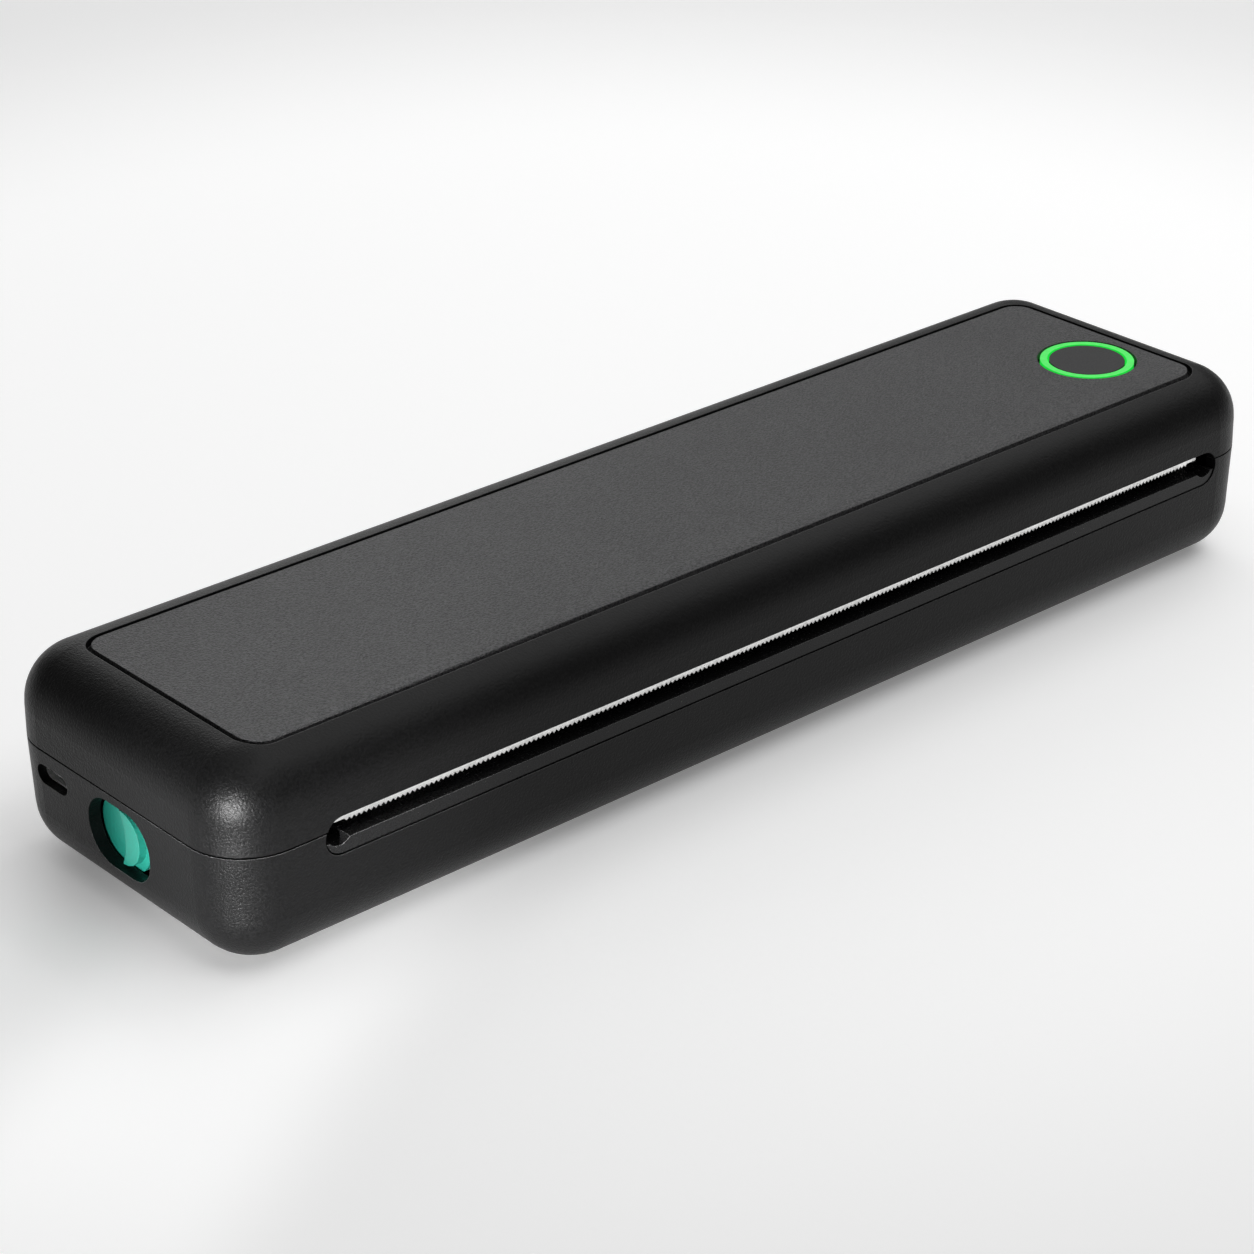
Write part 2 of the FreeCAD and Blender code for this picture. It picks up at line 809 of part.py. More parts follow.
def lower_walls():
    """The base tray with the openings of its walls."""
    outer = lower_form(0, 0)
    cavity = lower_form(s.wall, s.floor_wall)
    through_end = (-s.half_length - s.overrun, s.end_inside + s.overrun)
    openings = [
        slot_hole(0, (-s.half_width - s.overrun, s.front_inside + s.overrun)),
        side_hole(s.window_y, s.window_z, s.window_width, s.window_height, s.window_corner, through_end),
        stadium_bar(
            "YZ",
            (s.usb_y - s.usb_window_width / 2, s.usb_y + s.usb_window_width / 2),
            (s.usb_z - s.usb_window_height / 2, s.usb_z + s.usb_window_height / 2),
            through_end,
        ),
    ]
    feet = foot_bars(s.tight_gap, (s.foot_stand - s.overrun, s.foot_stand + s.foot_sink))
    return cut(outer, cavity, *openings, *feet)


def latch_rails():
    """The shelf, its back lip and its front spacer, which the latch carrier slides between."""
    shelf_top = s.carrier_bottom - s.slide_gap
    lip_x = s.carrier_inside + s.slide_gap
    along = (s.release_y - s.carrier_front - s.latch_travel - s.rail_lip, s.release_y + s.carrier_back)
    wall_x = s.release_face - s.slide_gap
    shelf = block((wall_x, lip_x + s.rail_lip), along, (shelf_top - s.rail_height, shelf_top))
    lip = block((lip_x, lip_x + s.rail_lip), along, (shelf_top, shelf_top + s.rail_height))
    low = (shelf_top, shelf_top + s.rail_height / 2)
    spacer = block((wall_x, s.carrier_face - s.slide_gap), along, low)
    return [shelf, lip, spacer]


def rims():
    """The low tongues along both end walls that keep the cover's ends in line."""
    near = s.end_inside + s.slide_gap
    far = near + s.rim_thickness
    along = (s.plan_corner - s.half_width, s.half_width - s.plan_corner)
    tall = (s.base_top - s.rim_root, s.base_top + s.rim_height)
    return [block(ends, along, tall) for ends in ((near, far), (-far, -near))]


def rim_roots():
    """The ribs that carry the tongues, down the inside of the end walls."""
    near = s.end_inside - s.wall / 2
    far = s.end_inside + s.slide_gap + s.rim_thickness
    along = (s.plan_corner - s.half_width, s.half_width - s.plan_corner)
    tall = (s.base_top - s.rim_root, s.base_top - s.seam_gap)
    return [block(ends, along, tall) for ends in ((near, far), (-far, -near))]


def lower_shell():
    barrels = rims() + rim_roots()
    inside = latch_rails()
    rooms = []
    buried = s.shell_floor - s.floor_wall / 2
    for side in (-1, 1):
        base, cover = hinge_spans(side)
        for ends in base:
            barrels += knuckle(ends, (s.base_top - s.knuckle_web_height, s.base_top))
        room = (cover[0] - s.knuckle_gap, cover[1] + s.knuckle_gap)
        rooms.append(rod("X", (s.hinge_y, s.seam_level), s.knuckle_radius + s.knuckle_gap, room))
    for x, y, radius in frame_screw_spots():
        inside.append(rod("Z", (x, y), radius, (buried, s.deck_bottom)))
        rooms.append(pilot("Z", (x, y), s.deck_bottom + s.frame_wall, -1))
    for x, y in board_post_spots():
        inside.append(rod("Z", (x, y), s.post_radius, (buried, s.shell_floor + s.board_rise)))
        rooms.append(pilot("Z", (x, y), s.board_top, -1))
    for x, y in usb_post_spots():
        inside.append(rod("Z", (x, y), s.post_radius, (buried, s.usb_board_top - s.board_thickness)))
        rooms.append(pilot("Z", (x, y), s.usb_board_top, -1))
    for x in s.spring_places:
        inside.append(rod("Z", (x, s.head_spring_y), s.spring_seat_radius, (buried, s.spring_seat_top)))
        core = s.spring_radius - s.spring_wire * 2
        inside.append(rod("Z", (x, s.head_spring_y), core, (s.spring_seat_top, s.spring_seat_top + core)))
    inside.append(
        block(
            (s.slot_left, s.slot_right),
            (s.front_inside - s.wall / 2, s.front_inside + s.shelf_depth),
            (s.lip_bottom - s.shelf_height, s.lip_bottom),
        )
    )
    ear = (s.head_left - s.knuckle_gap - s.pivot_ear_width, s.head_left - s.knuckle_gap)
    around = (s.head_pivot_y - s.head_eye_radius, s.head_pivot_y + s.head_eye_radius)
    inside.append(block(ear, around, (buried, s.pivot_z + s.head_eye_radius)))
    pin_hole = (ear[0] + s.rail_lip, ear[1] + s.overrun)
    rooms.append(rod("X", (s.head_pivot_y, s.pivot_z), s.head_pivot_radius + s.tight_gap, pin_hole))
    reach = s.release_radius + s.slide_gap
    disc_y = (s.release_y - s.latch_travel - reach, s.release_y + reach)
    disc_z = (s.release_z - reach, s.release_z + reach)
    rooms.append(stadium_bar("YZ", disc_y, disc_z, (s.release_face - s.slide_gap, s.carrier_inside)))
    stop_y = s.latch_spring_end
    stop = (s.carrier_inside + s.slide_gap + s.rail_lip + s.slide_gap, s.carrier_inside + s.spring_tab)
    inside.append(block(stop, (stop_y - s.rail_height, stop_y), (buried, s.window_z + s.spring_radius)))
    for x, y in gear_plate_screw_spots():
        rooms.append(rod("Z", (x, y), s.screw_radius + s.tight_gap, (buried, s.shell_floor + s.overrun)))
    trimmed = cut(
        fuse(lower_walls(), common(fuse(*inside), lower_form(0, 0)), *barrels),
        hinge_relief(-1),
        *rooms,
        *hinge_bore(s.hinge_pin_radius + s.tight_gap),
    )
    keep("lower_shell", trimmed)


def exit_lip():
    """The insert below the slot: round-ended, dipped at both ends and sloped back to the print head."""
    front = -s.half_width + s.lip_sink
    back = front + s.lip_depth
    bar = slot_hole(s.lip_gap, (front, back))
    keep_low = block(
        (s.slot_left, s.slot_right), (front - s.overrun, back + s.overrun), (s.slot_bottom, s.lip_top)
    )
    bulb_z = (s.slot_top + s.lip_top - s.lip_lead) / 2
    inset = s.lip_bulb + s.lip_gap
    bulbs = [
        rod("Y", (x, bulb_z), s.lip_bulb, (front - s.overrun, back + s.overrun))
        for x in (s.slot_left + inset, s.slot_right - inset)
    ]
    slope = prism(
        "YZ",
        [
            (front + s.wall, s.lip_top),
            (back + s.overrun, s.lip_top - s.lip_lead),
            (back + s.overrun, s.lip_top + s.overrun),
            (front + s.wall, s.lip_top + s.overrun),
        ],
        (s.slot_left, s.slot_right),
    )
    keep("exit_lip", cut(common(bar, keep_low), slope, *bulbs))


def rubber_feet():
    keep("rubber_feet", group(*foot_bars(0, (0, s.foot_stand + s.foot_sink))))


def hinge_pins():
    pins = []
    for side in (-1, 1):
        base, _ = hinge_spans(side)
        pins.append(rod("X", (s.hinge_y, s.seam_level), s.hinge_pin_radius, (base[0][0], base[1][1])))
    keep("hinge_pins", group(*pins))


def inner_frame():
    """The moulded frame: a paper trough between two bulkheads, with a screw deck along each side."""
    deck_z = (s.deck_bottom, s.deck_bottom + s.frame_wall)
    along = (s.bay_left - s.frame_wall, s.bay_right + s.frame_wall)
    corner = (s.bay_back - s.bay_front) * BAY_CORNER_SHARE
    over = s.frame_top + corner
    outer = rounded_bar(
        "YZ",
        (s.bay_front - s.frame_wall, s.bay_back + s.frame_wall),
        (s.bay_bottom - s.frame_wall, over + s.frame_wall),
        corner + s.frame_wall,
        along,
    )
    trough = rounded_bar(
        "YZ",
        (s.bay_front, s.bay_back),
        (s.bay_bottom, over + s.overrun),
        corner,
        (s.bay_left, s.bay_right),
    )
    front_deck = block(along, (s.deck_front, s.bay_front), deck_z)
    rear_deck = block(along, (s.bay_back, s.deck_back), deck_z)
    walls = [
        block(ends, (s.deck_front, s.bay_back + s.frame_wall), (s.shell_floor, s.frame_top))
        for ends in ((along[0], s.bay_left), (s.bay_right, along[1]))
    ]
    above = block(
        (along[0] - s.overrun, along[1] + s.overrun),
        (s.deck_front - s.overrun, s.deck_back + s.overrun),
        (s.frame_top, over + s.frame_wall + s.overrun),
    )
    holes = [pilot("Z", (x, y), deck_z[1], -1) for x, y, _ in frame_screw_spots()]
    keep("inner_frame", cut(fuse(outer, front_deck, rear_deck, *walls), trough, above, *holes))
    screws = [screw("Z", (x, y), deck_z[1], -1) for x, y, _ in frame_screw_spots()]
    keep("frame_screws", group(*screws))
    half = s.screw_length / 2
    sensor_x = (s.slot_middle - half, s.slot_middle + half)
    sensor_y = (s.deck_front + s.tight_gap, s.deck_front + s.frame_wall * 2)
    keep("paper_sensor", block(sensor_x, sensor_y, (deck_z[1], s.frame_top - s.tight_gap)))


def battery_cells():
    cells = []
    for side in (-1, 1):
        near = s.slot_middle + side * s.cell_gap / 2
        far = s.bay_right - s.cell_end_room if side > 0 else s.bay_left + s.cell_end_room
        across = (near, far) if side > 0 else (far, near)
        up = (s.bay_front + s.cell_side_room, s.bay_back - s.cell_side_room)
        thick = (s.shell_floor, s.shell_floor + s.cell_thickness)
        cells.append(rounded_bar("XY", across, up, s.cell_corner, thick))
    keep("battery_cells", group(*cells))


def main_board():
    thick = (s.board_top - s.board_thickness, s.board_top)
    board = block((s.board_left, s.board_right), (s.board_front, s.board_back), thick)
    holes = [pilot("Z", spot, s.board_top, -1) for spot in board_post_spots()]
    keep("main_board", cut(board, *holes))
    keep("main_board_screws", group(*[screw("Z", spot, s.board_top, -1) for spot in board_post_spots()]))
    run = s.board_right - s.board_left
    middle = (s.board_front + s.board_back) / 2
    chips = []
    for share, side_share, rise in CHIP_SHARES:
        x = s.board_left + run * share
        half = (s.board_back - s.board_front) * side_share / 2
        tall = (s.board_top, s.board_top + s.board_thickness * rise)
        chips.append(block((x - half, x + half), (middle - half, middle + half), tall))
    keep("board_chips", group(*chips))


def usb_parts():
    board_z = (s.usb_board_top - s.board_thickness, s.usb_board_top)
    front = -s.half_length + s.usb_recess
    board = block(
        (s.usb_board_left, s.usb_board_right),
        (s.usb_y - s.usb_board_side, s.usb_y + s.usb_board_side),
        board_z,
    )
    holes = [pilot("Z", spot, s.usb_board_top, -1) for spot in usb_post_spots()]
    keep("usb_board", cut(board, *holes))
    keep("usb_board_screws", group(*[screw("Z", spot, s.usb_board_top, -1) for spot in usb_post_spots()]))
    ends = (front, front + s.usb_depth)
    outer = side_hole(s.usb_y, s.usb_z, s.usb_width, s.usb_height, s.usb_height * USB_CORNER_SHARE, ends)
    hollow = side_hole(
        s.usb_y,
        s.usb_z,
        s.usb_width - s.usb_shell * 2,
        s.usb_height - s.usb_shell * 2,
        s.usb_height * USB_CORNER_SHARE - s.usb_shell,
        (front - s.overrun, front + s.usb_depth - s.usb_shell * 2),
    )
    tongue = block(
        (front + s.usb_shell, front + s.usb_depth - s.usb_shell),
        (s.usb_y - s.usb_width * TONGUE_SHARE / 2, s.usb_y + s.usb_width * TONGUE_SHARE / 2),
        (s.usb_z - s.usb_tongue / 2, s.usb_z + s.usb_tongue / 2),
    )
    keep("usb_c_socket", fuse(cut(outer, hollow), tongue))


def print_head():
    """The heated strip on its plate, which rocks on a pin and is pushed up by springs."""
    inset = s.head_eye_width
    along = (s.head_left + inset, s.head_right - inset)
    keep("print_head", block(along, (s.head_front, s.ceramic_back), (s.plate_top, s.head_top)))
    plate = block((s.head_left, s.head_right), (s.head_front, s.head_back), (s.plate_bottom, s.plate_top))
    eyes = []
    bores = []
    for ends in ((s.head_left, s.head_left + inset), (s.head_right - inset, s.head_right)):
        eyes.append(rod("X", (s.head_pivot_y, s.pivot_z), s.head_eye_radius, ends))
        eyes.append(block(ends, (s.head_back - s.overrun, s.head_pivot_y), (s.plate_bottom, s.plate_top)))
        spread = (ends[0] - s.overrun, ends[1] + s.overrun)
        bores.append(rod("X", (s.head_pivot_y, s.pivot_z), s.head_pivot_radius + s.running_gap, spread))
    keep("head_plate", cut(fuse(plate, *eyes), *bores))
    pin_start = s.head_left - s.knuckle_gap - s.pivot_ear_width + s.rail_lip
    pin = (pin_start, s.gear_plate_x + s.gear_plate_thickness)
    keep("head_pivot_pin", rod("X", (s.head_pivot_y, s.pivot_z), s.head_pivot_radius, pin))
    springs = [
        coil("Z", (x, s.head_spring_y), s.spring_seat_top, s.plate_bottom, s.head_spring_turns)
        for x in s.spring_places
    ]
    keep("head_springs", shaped(Part.makeCompound(springs)))


def coil(axis, centre, start, end, turns):
    """A compression spring of round wire between two seats."""
    wire = number(s.spring_wire)
    radius = number(s.spring_radius) - wire / 2
    run = abs(number(end) - number(start)) - wire - number(s.tight_gap) * 2
    helix = Part.makeHelix(run / number(turns), run, radius)
    section = Part.Wire(Part.makeCircle(wire / 2, V(radius, 0, 0), V(0, 1, 0)))
    spring = Part.Wire(helix).makePipeShell([section], True, True)
    spring.translate(V(0, 0, wire / 2 + number(s.tight_gap)))
    if axis == "Y":
        spring.rotate(V(0, 0, 0), V(1, 0, 0), 90)
        spring.translate(V(number(centre[0]), number(start), number(centre[1])))
    else:
        spring.translate(V(number(centre[0]), number(centre[1]), number(start)))
    return spring


def gear(teeth, centre, ends, phase, bore):
    """A spur gear with involute flanks, its first tooth at an angle in the YZ plane."""
    count = int(number(teeth))
    module = number(s.gear_module)
    pitch = module * count / 2
    pressure = math.radians(number(s.pressure_angle))
    base = pitch * math.cos(pressure)
    root = pitch - module * DEDENDUM_SHARE
    tip = pitch + module
    slack = number(s.gear_backlash) / pitch / 2
    half_tooth = math.pi / count / 2 - slack / 2 + math.tan(pressure) - pressure

    def flank(radius):
        if radius <= base:
            return half_tooth
        angle = math.acos(base / radius)
        return half_tooth - (math.tan(angle) - angle)

    lowest = max(base, root)
    radii = [root, lowest, (lowest + tip) / 2, tip] if root < base else [root, (root + tip) / 2, tip]
    points = []
    for tooth in range(count):
        middle = phase + 2 * math.pi * tooth / count
        for radius in radii:
            points.append((radius, middle - flank(radius)))
        for radius in reversed(radii):
            points.append((radius, middle + flank(radius)))
    x = number(ends[0])
    cy, cz = number(centre[0]), number(centre[1])
    ring = [V(x, cy + r * math.cos(a), cz + r * math.sin(a)) for r, a in points]
    blank = Part.Face(Part.makePolygon(ring + ring[:1])).extrude(V(number(ends[1]) - x, 0, 0))
    if bore is None:
        return blank
    depth = number(ends[1]) - x + 2 * number(s.overrun)
    hole = Part.makeCylinder(number(bore), depth, V(x - number(s.overrun), cy, cz), V(1, 0, 0))
    return blank.cut(hole)


def gear_reach(first, second):
    """The distance between the centres of two meshed gears."""
    return s.gear_module * (first + second) / 2 + s.gear_backlash / 2


def gear_centres():
    """Platen gear, reduction gear and motor, each centre as Y and Z."""
    arm_y, arm_z = number(s.platen_y) - number(s.hinge_y), number(s.platen_z) - number(s.seam_level)
    reach = math.hypot(arm_y, arm_z)
    lift_y, lift_z = arm_z / reach, -arm_y / reach
    first = gear_reach(s.platen_gear_teeth, s.pinion_teeth)
    middle = (s.platen_y - first * lift_y, s.platen_z - first * lift_z)
    second = number(gear_reach(s.wheel_teeth, s.motor_teeth))
    fall = number(middle[1]) - number(s.motor_z)
    motor_y = number(middle[0]) + math.sqrt(second * second - fall * fall)
    centres = (s.platen_centre, middle, (motor_y, s.motor_z))
    return [(number(y), number(z)) for y, z in centres]


def heading(start, end):
    return math.atan2(end[1] - start[1], end[0] - start[0])


def gear_plate_screw_spots():
    x = s.gear_plate_x + s.gear_plate_thickness + s.gear_plate_foot / 2
    inset = s.screw_head_radius + s.knuckle_gap
    return [(x, s.gear_plate_front + s.gear_plate_toe + inset), (x, s.gear_plate_back - inset)]


def drive():
    """The platen gear, the two-step reduction gear and the motor with its pinion, all in mesh."""
    platen, middle, motor = gear_centres()
    first = (s.gear_first, s.gear_first + s.gear_face)
    second = (s.gear_first + s.gear_step, s.gear_first + s.gear_step + s.wheel_face)
    down = heading(platen, middle)
    platen_teeth, pinion_teeth = number(s.platen_gear_teeth), number(s.pinion_teeth)
    keep("platen_gear", shaped(gear(s.platen_gear_teeth, platen, first, down, s.shaft_radius)))
    small = gear(
        s.pinion_teeth, middle, (first[0], second[0]), down + math.pi + math.pi / pinion_teeth, None
    )
    across = heading(middle, motor)
    large = gear(s.wheel_teeth, middle, second, across, None)
    bore = Part.makeCylinder(
        number(s.stud_radius) + number(s.running_gap),
        number(second[1]) - number(first[0]) + 2 * number(s.overrun),
        V(number(first[0]) - number(s.overrun), *middle),
        V(1, 0, 0),
    )
    keep("reduction_gear", shaped(small.fuse(large).cut(bore)))
    motor_phase = across + math.pi + math.pi / number(s.motor_teeth)
    teeth = gear(s.motor_teeth, motor, second, motor_phase, None)
    tail = number(s.gear_plate_x) - number(s.motor_flange) - number(s.motor_length) / 2
    spindle = Part.makeCylinder(
        number(s.motor_shaft_radius), number(second[1]) - tail, V(tail, *motor), V(1, 0, 0)
    )
    keep("motor_pinion", shaped(teeth.fuse(spindle)))
    flange = (s.gear_plate_x - s.motor_flange, s.gear_plate_x)
    can = rod("X", motor, s.motor_radius, (flange[0] - s.motor_length, flange[0]))
    ear = s.motor_radius * MOTOR_EAR_SHARE
    plate = block(flange, (motor[0] - s.motor_radius, motor[0] + ear), (motor[1] - ear, motor[1] + ear))
    hole = rod(
        "X",
        motor,
        s.motor_shaft_radius + s.running_gap,
        (flange[0] - s.motor_length / 2 - s.overrun, s.gear_plate_x + s.overrun),
    )
    keep("feed_motor", cut(fuse(can, plate), hole))
    sheet_x = (s.gear_plate_x, s.gear_plate_x + s.gear_plate_thickness)
    toe = s.gear_plate_toe
    upright = prism(
        "YZ",
        [
            (s.gear_plate_front + toe, s.shell_floor),
            (s.gear_plate_back, s.shell_floor),
            (s.gear_plate_back, s.gear_plate_top),
            (s.gear_plate_front, s.gear_plate_top),
            (s.gear_plate_front, s.shell_floor + toe),
        ],
        sheet_x,
    )
    foot = block(
        (sheet_x[0], sheet_x[1] + s.gear_plate_foot),
        (s.gear_plate_front + toe, s.gear_plate_back),
        (s.shell_floor, s.shell_floor + s.gear_plate_thickness),
    )
    spread = (sheet_x[0] - s.overrun, sheet_x[1] + s.overrun)
    holes = [
        rod("X", motor, s.motor_shaft_radius * 2, spread),
        rod("X", middle, s.stud_radius + s.tight_gap, spread),
        rod("X", (s.head_pivot_y, s.pivot_z), s.head_pivot_radius + s.tight_gap, spread),
    ]
    seat = s.shell_floor + s.gear_plate_thickness
    for spot in gear_plate_screw_spots():
        through = (s.shell_floor - s.overrun, seat + s.overrun)
        holes.append(rod("Z", spot, s.screw_radius + s.tight_gap, through))
    keep("gear_plate", cut(fuse(upright, foot), *holes))
    screws = []
    for spot in gear_plate_screw_spots():
        screws.append(
            fuse(
                rod("Z", spot, s.screw_head_radius, (seat, seat + s.screw_head_height)),
                rod("Z", spot, s.screw_radius, (s.shell_floor - s.floor_wall / 2, seat)),
            )
        )
    keep("gear_plate_screws", group(*screws))
    stud_end = second[1] + s.knuckle_gap
    collar = rod("X", middle, s.stud_radius * 2, (sheet_x[1], s.gear_first - s.knuckle_gap))
    cap = rod("X", middle, s.stud_radius * 2, (stud_end, stud_end + s.gear_plate_thickness))
    stem = rod("X", middle, s.stud_radius, (sheet_x[0], stud_end))
    keep("gear_stud", fuse(stem, collar, cap))


def platen_brackets():
    """Where the two platen brackets of the cover stand along X."""
    left = s.platen_left - s.knuckle_gap - s.bush_flange
    right = s.platen_right + s.knuckle_gap + s.bush_flange
    return (left - s.bracket_width, left), (right, right + s.bracket_width)


def platen():
    left, right = platen_brackets()
    sleeve = rod("X", s.platen_centre, s.platen_radius, (s.platen_left, s.platen_right))
    spread = (s.platen_left - s.overrun, s.platen_right + s.overrun)
    bore = rod("X", s.platen_centre, s.shaft_radius, spread)
    keep("platen_roller", cut(sleeve, bore))
    shaft_end = s.gear_first + s.gear_face + s.shaft_overrun
    keep("platen_shaft", rod("X", s.platen_centre, s.shaft_radius, (left[0] - s.shaft_overrun, shaft_end)))
    bushes = []
    for ends, flange in (
        (left, (left[1], left[1] + s.bush_flange)),
        (right, (right[0] - s.bush_flange, right[0])),
    ):
        solid = fuse(
            rod("X", s.platen_centre, s.bush_radius, ends),
            rod("X", s.platen_centre, s.bush_radius + s.bush_flange, flange),
        )
        through = (ends[0] - s.overrun, ends[1] + s.overrun)
        bushes.append(cut(solid, rod("X", s.platen_centre, s.shaft_radius + s.running_gap, through)))
    keep("platen_bushes", group(*bushes))


def latch():
    """The thumb button on its carrier, with the hook and the tab that the spring pushes on."""
    spot = (s.release_y, s.release_z)
    disc = rod("X", spot, s.release_radius, (s.release_face, s.carrier_face))
    rib_ends = (s.release_face - s.rib_height, s.release_face)
    rib_y = s.release_y - s.rib_setback
    rib = cut(
        rod("X", (rib_y, s.release_z), s.rib_outer, rib_ends),
        rod(
            "X",
            (rib_y - s.rib_outer + s.rib_bulge + s.rib_inner, s.release_z),
            s.rib_inner,
            (rib_ends[0] - s.overrun, rib_ends[1] + s.release_depth / 2),
        ),
    )
    keep("release_button", fuse(disc, rib))
    front = s.release_y - s.carrier_front
    plate = block(
        (s.carrier_face, s.carrier_inside),
        (front, s.release_y + s.carrier_back),
        (s.carrier_bottom, s.carrier_top),
    )
    thick = s.carrier_inside + s.carrier_depth
    arm = block(
        (s.carrier_face, thick),
        (s.hook_y, s.hook_y + s.hook_width),
        (s.carrier_top - s.hook_rise, s.hook_top),
    )
    nose = block(
        (s.carrier_face, thick),
        (s.hook_y, s.hook_y + s.hook_width + s.hook_reach),
        (s.hook_top - s.hook_reach, s.hook_top),
    )
    tab = block(
        (s.carrier_face, s.carrier_inside + s.spring_tab),
        (front, front + s.rail_lip),
        (s.window_z - s.spring_radius, s.window_z + s.spring_radius),
    )
    keep("latch_carrier", fuse(plate, arm, nose, tab))
    spring = coil(
        "Y",
        (s.carrier_inside + s.spring_tab - s.spring_radius, s.window_z),
        s.latch_spring_start,
        s.latch_spring_end,
        s.latch_spring_turns,
    )
    keep("latch_spring", shaped(spring))


def striker_spans():
    across = (s.carrier_face + s.slide_gap, s.carrier_inside + s.carrier_depth)
    return across, (s.striker_face, s.striker_face + s.rail_lip)


def latch_striker():
    across, deep = striker_spans()
    plate = block(across, deep, (s.cover_bottom + s.slide_gap, s.striker_top))
    window = block(
        (across[0] + s.striker_frame, across[1] - s.striker_frame),
        (deep[0] - s.overrun, deep[1] + s.overrun),
        (s.hook_top - s.hook_reach - s.slide_gap, s.hook_top + s.slide_gap),
    )
    middle = (across[0] + across[1]) / 2
    level = s.striker_top - s.screw_length / 2
    hole = pilot("Y", (middle, level), deep[0], 1)
    keep("latch_striker", cut(plate, window, hole))
    keep("striker_screw", screw("Y", (middle, level), deep[0], 1))


def button_board_spots():
    reach = s.ring_outer + s.ring_flange + s.post_radius + s.knuckle_gap
    return [(s.button_x - reach, s.button_y), (s.button_x + reach, s.button_y)]


def upper_shell():
    inside = []
    rooms = []
    for side in (-1, 1):
        base, cover = hinge_spans(side)
        inside += knuckle(cover, (s.cover_bottom, s.cover_bottom + s.knuckle_web_height))
        for ends in base:
            room = (ends[0] - s.knuckle_gap, ends[1] + s.knuckle_gap)
            rooms.append(rod("X", (s.hinge_y, s.seam_level), s.knuckle_radius + s.knuckle_gap, room))
    buried = s.ceiling + (s.top_wall - s.panel_depth) / 2
    for spot in button_board_spots():
        inside.append(rod("Z", spot, s.post_radius, (s.button_board_top, buried)))
        rooms.append(pilot("Z", spot, s.button_board_top - s.board_thickness, 1))
    across, deep = striker_spans()
    boss_z = (s.striker_top - s.screw_length, buried)
    inside.append(block(across, (deep[1], deep[1] + s.screw_length), boss_z))
    rooms.append(
        pilot("Y", ((across[0] + across[1]) / 2, s.striker_top - s.screw_length / 2), deep[0], 1)
    )
    for x, z in tear_screw_spots():
        deep = (s.front_inside - s.wall / 2, s.front_inside + s.wall)
        rooms.append(rod("Y", (x, z), s.screw_radius + s.tight_gap, deep))
    for x, y in liner_screw_spots():
        rooms.append(rod("Z", (x, y), s.screw_radius + s.tight_gap, (s.ceiling - s.overrun, buried)))
    rooms.append(panel_outline(s.panel_groove / 2, (s.height - s.panel_depth, s.height + s.overrun)))
    rooms.append(slot_hole(0, (-s.half_width - s.overrun, s.front_inside + s.overrun)))
    button = (s.button_x, s.button_y)
    rooms.append(rod("Z", button, s.ring_outer + s.tight_gap, (s.ceiling - s.overrun, s.height)))
    trimmed = cut(
        fuse(cut(upper_form(0, 0), upper_form(s.wall, s.top_wall)), *inside),
        hinge_relief(1),
        *rooms,
        *hinge_bore(s.hinge_pin_radius + s.running_gap),
    )
    keep("upper_shell", trimmed)


def top_panel():
    """The inset plate, whose face follows the rounded form of the cover."""
    deep = (s.height - s.panel_depth, s.height + s.overrun)
    plate = common(upper_form(0, 0), panel_outline(-s.panel_groove / 2, deep))
    hole = rod(
        "Z",
        (s.button_x, s.button_y),
        s.ring_outer + s.ring_gap,
        (s.height - s.panel_depth - s.overrun, s.height + s.overrun),
    )
    keep("top_panel", cut(plate, hole))


def button_parts():
    """The light ring, the button that moves inside it, and the switch below."""
    spot = (s.button_x, s.button_y)
    flange_bottom = s.ceiling - s.ring_flange_depth
    ring = fuse(
        rod("Z", spot, s.ring_outer, (flange_bottom, s.height)),
        rod("Z", spot, s.ring_outer + s.ring_flange, (flange_bottom, s.ceiling)),
    )
    through = (flange_bottom - s.overrun, s.height + s.overrun)
    keep("light_ring", cut(ring, rod("Z", spot, s.ring_inner, through)))
    skirt_top = flange_bottom - s.button_sink
    skirt_bottom = skirt_top - s.button_flange_depth
    cap_top = s.height - s.button_sink
    cap = fuse(
        rod("Z", spot, s.button_radius, (skirt_bottom, cap_top)),
        rod("Z", spot, s.ring_inner + s.button_flange, (skirt_bottom, skirt_top)),
    )
    inside = (skirt_bottom - s.overrun, cap_top - s.button_skirt)
    hollow = rod("Z", spot, s.button_radius - s.button_wall, inside)
    stem = rod("Z", spot, s.plunger_radius, (skirt_bottom, cap_top - s.button_skirt))
    keep("power_button", fuse(cut(cap, hollow), stem))
    board_z = (s.button_board_top - s.board_thickness, s.button_board_top)
    half = s.button_radius - s.button_flange
    board = block(
        (s.button_x - s.button_board_reach, s.button_x + s.button_board_reach),
        (s.button_y - half, s.button_y + half),
        board_z,
    )
    holes = [pilot("Z", at, board_z[0], 1) for at in button_board_spots()]
    keep("button_board", cut(board, *holes))
    screws = [screw("Z", at, board_z[0], 1) for at in button_board_spots()]
    keep("button_board_screws", group(*screws))
    side = s.switch_side / 2
    body = block(
        (s.button_x - side, s.button_x + side),
        (s.button_y - side, s.button_y + side),
        (s.button_board_top, s.button_board_top + s.switch_height),
    )
    plunger = rod("Z", spot, s.plunger_radius, (s.button_board_top, s.plunger_top))
    keep("tact_switch", fuse(body, plunger))


def tear_screw_spots():
    run = s.tear_right - s.tear_left
    level = s.tear_top - s.screw_head_radius - s.knuckle_gap
    return [(s.tear_left + run * share, level) for share in TEAR_SCREW_SHARES]


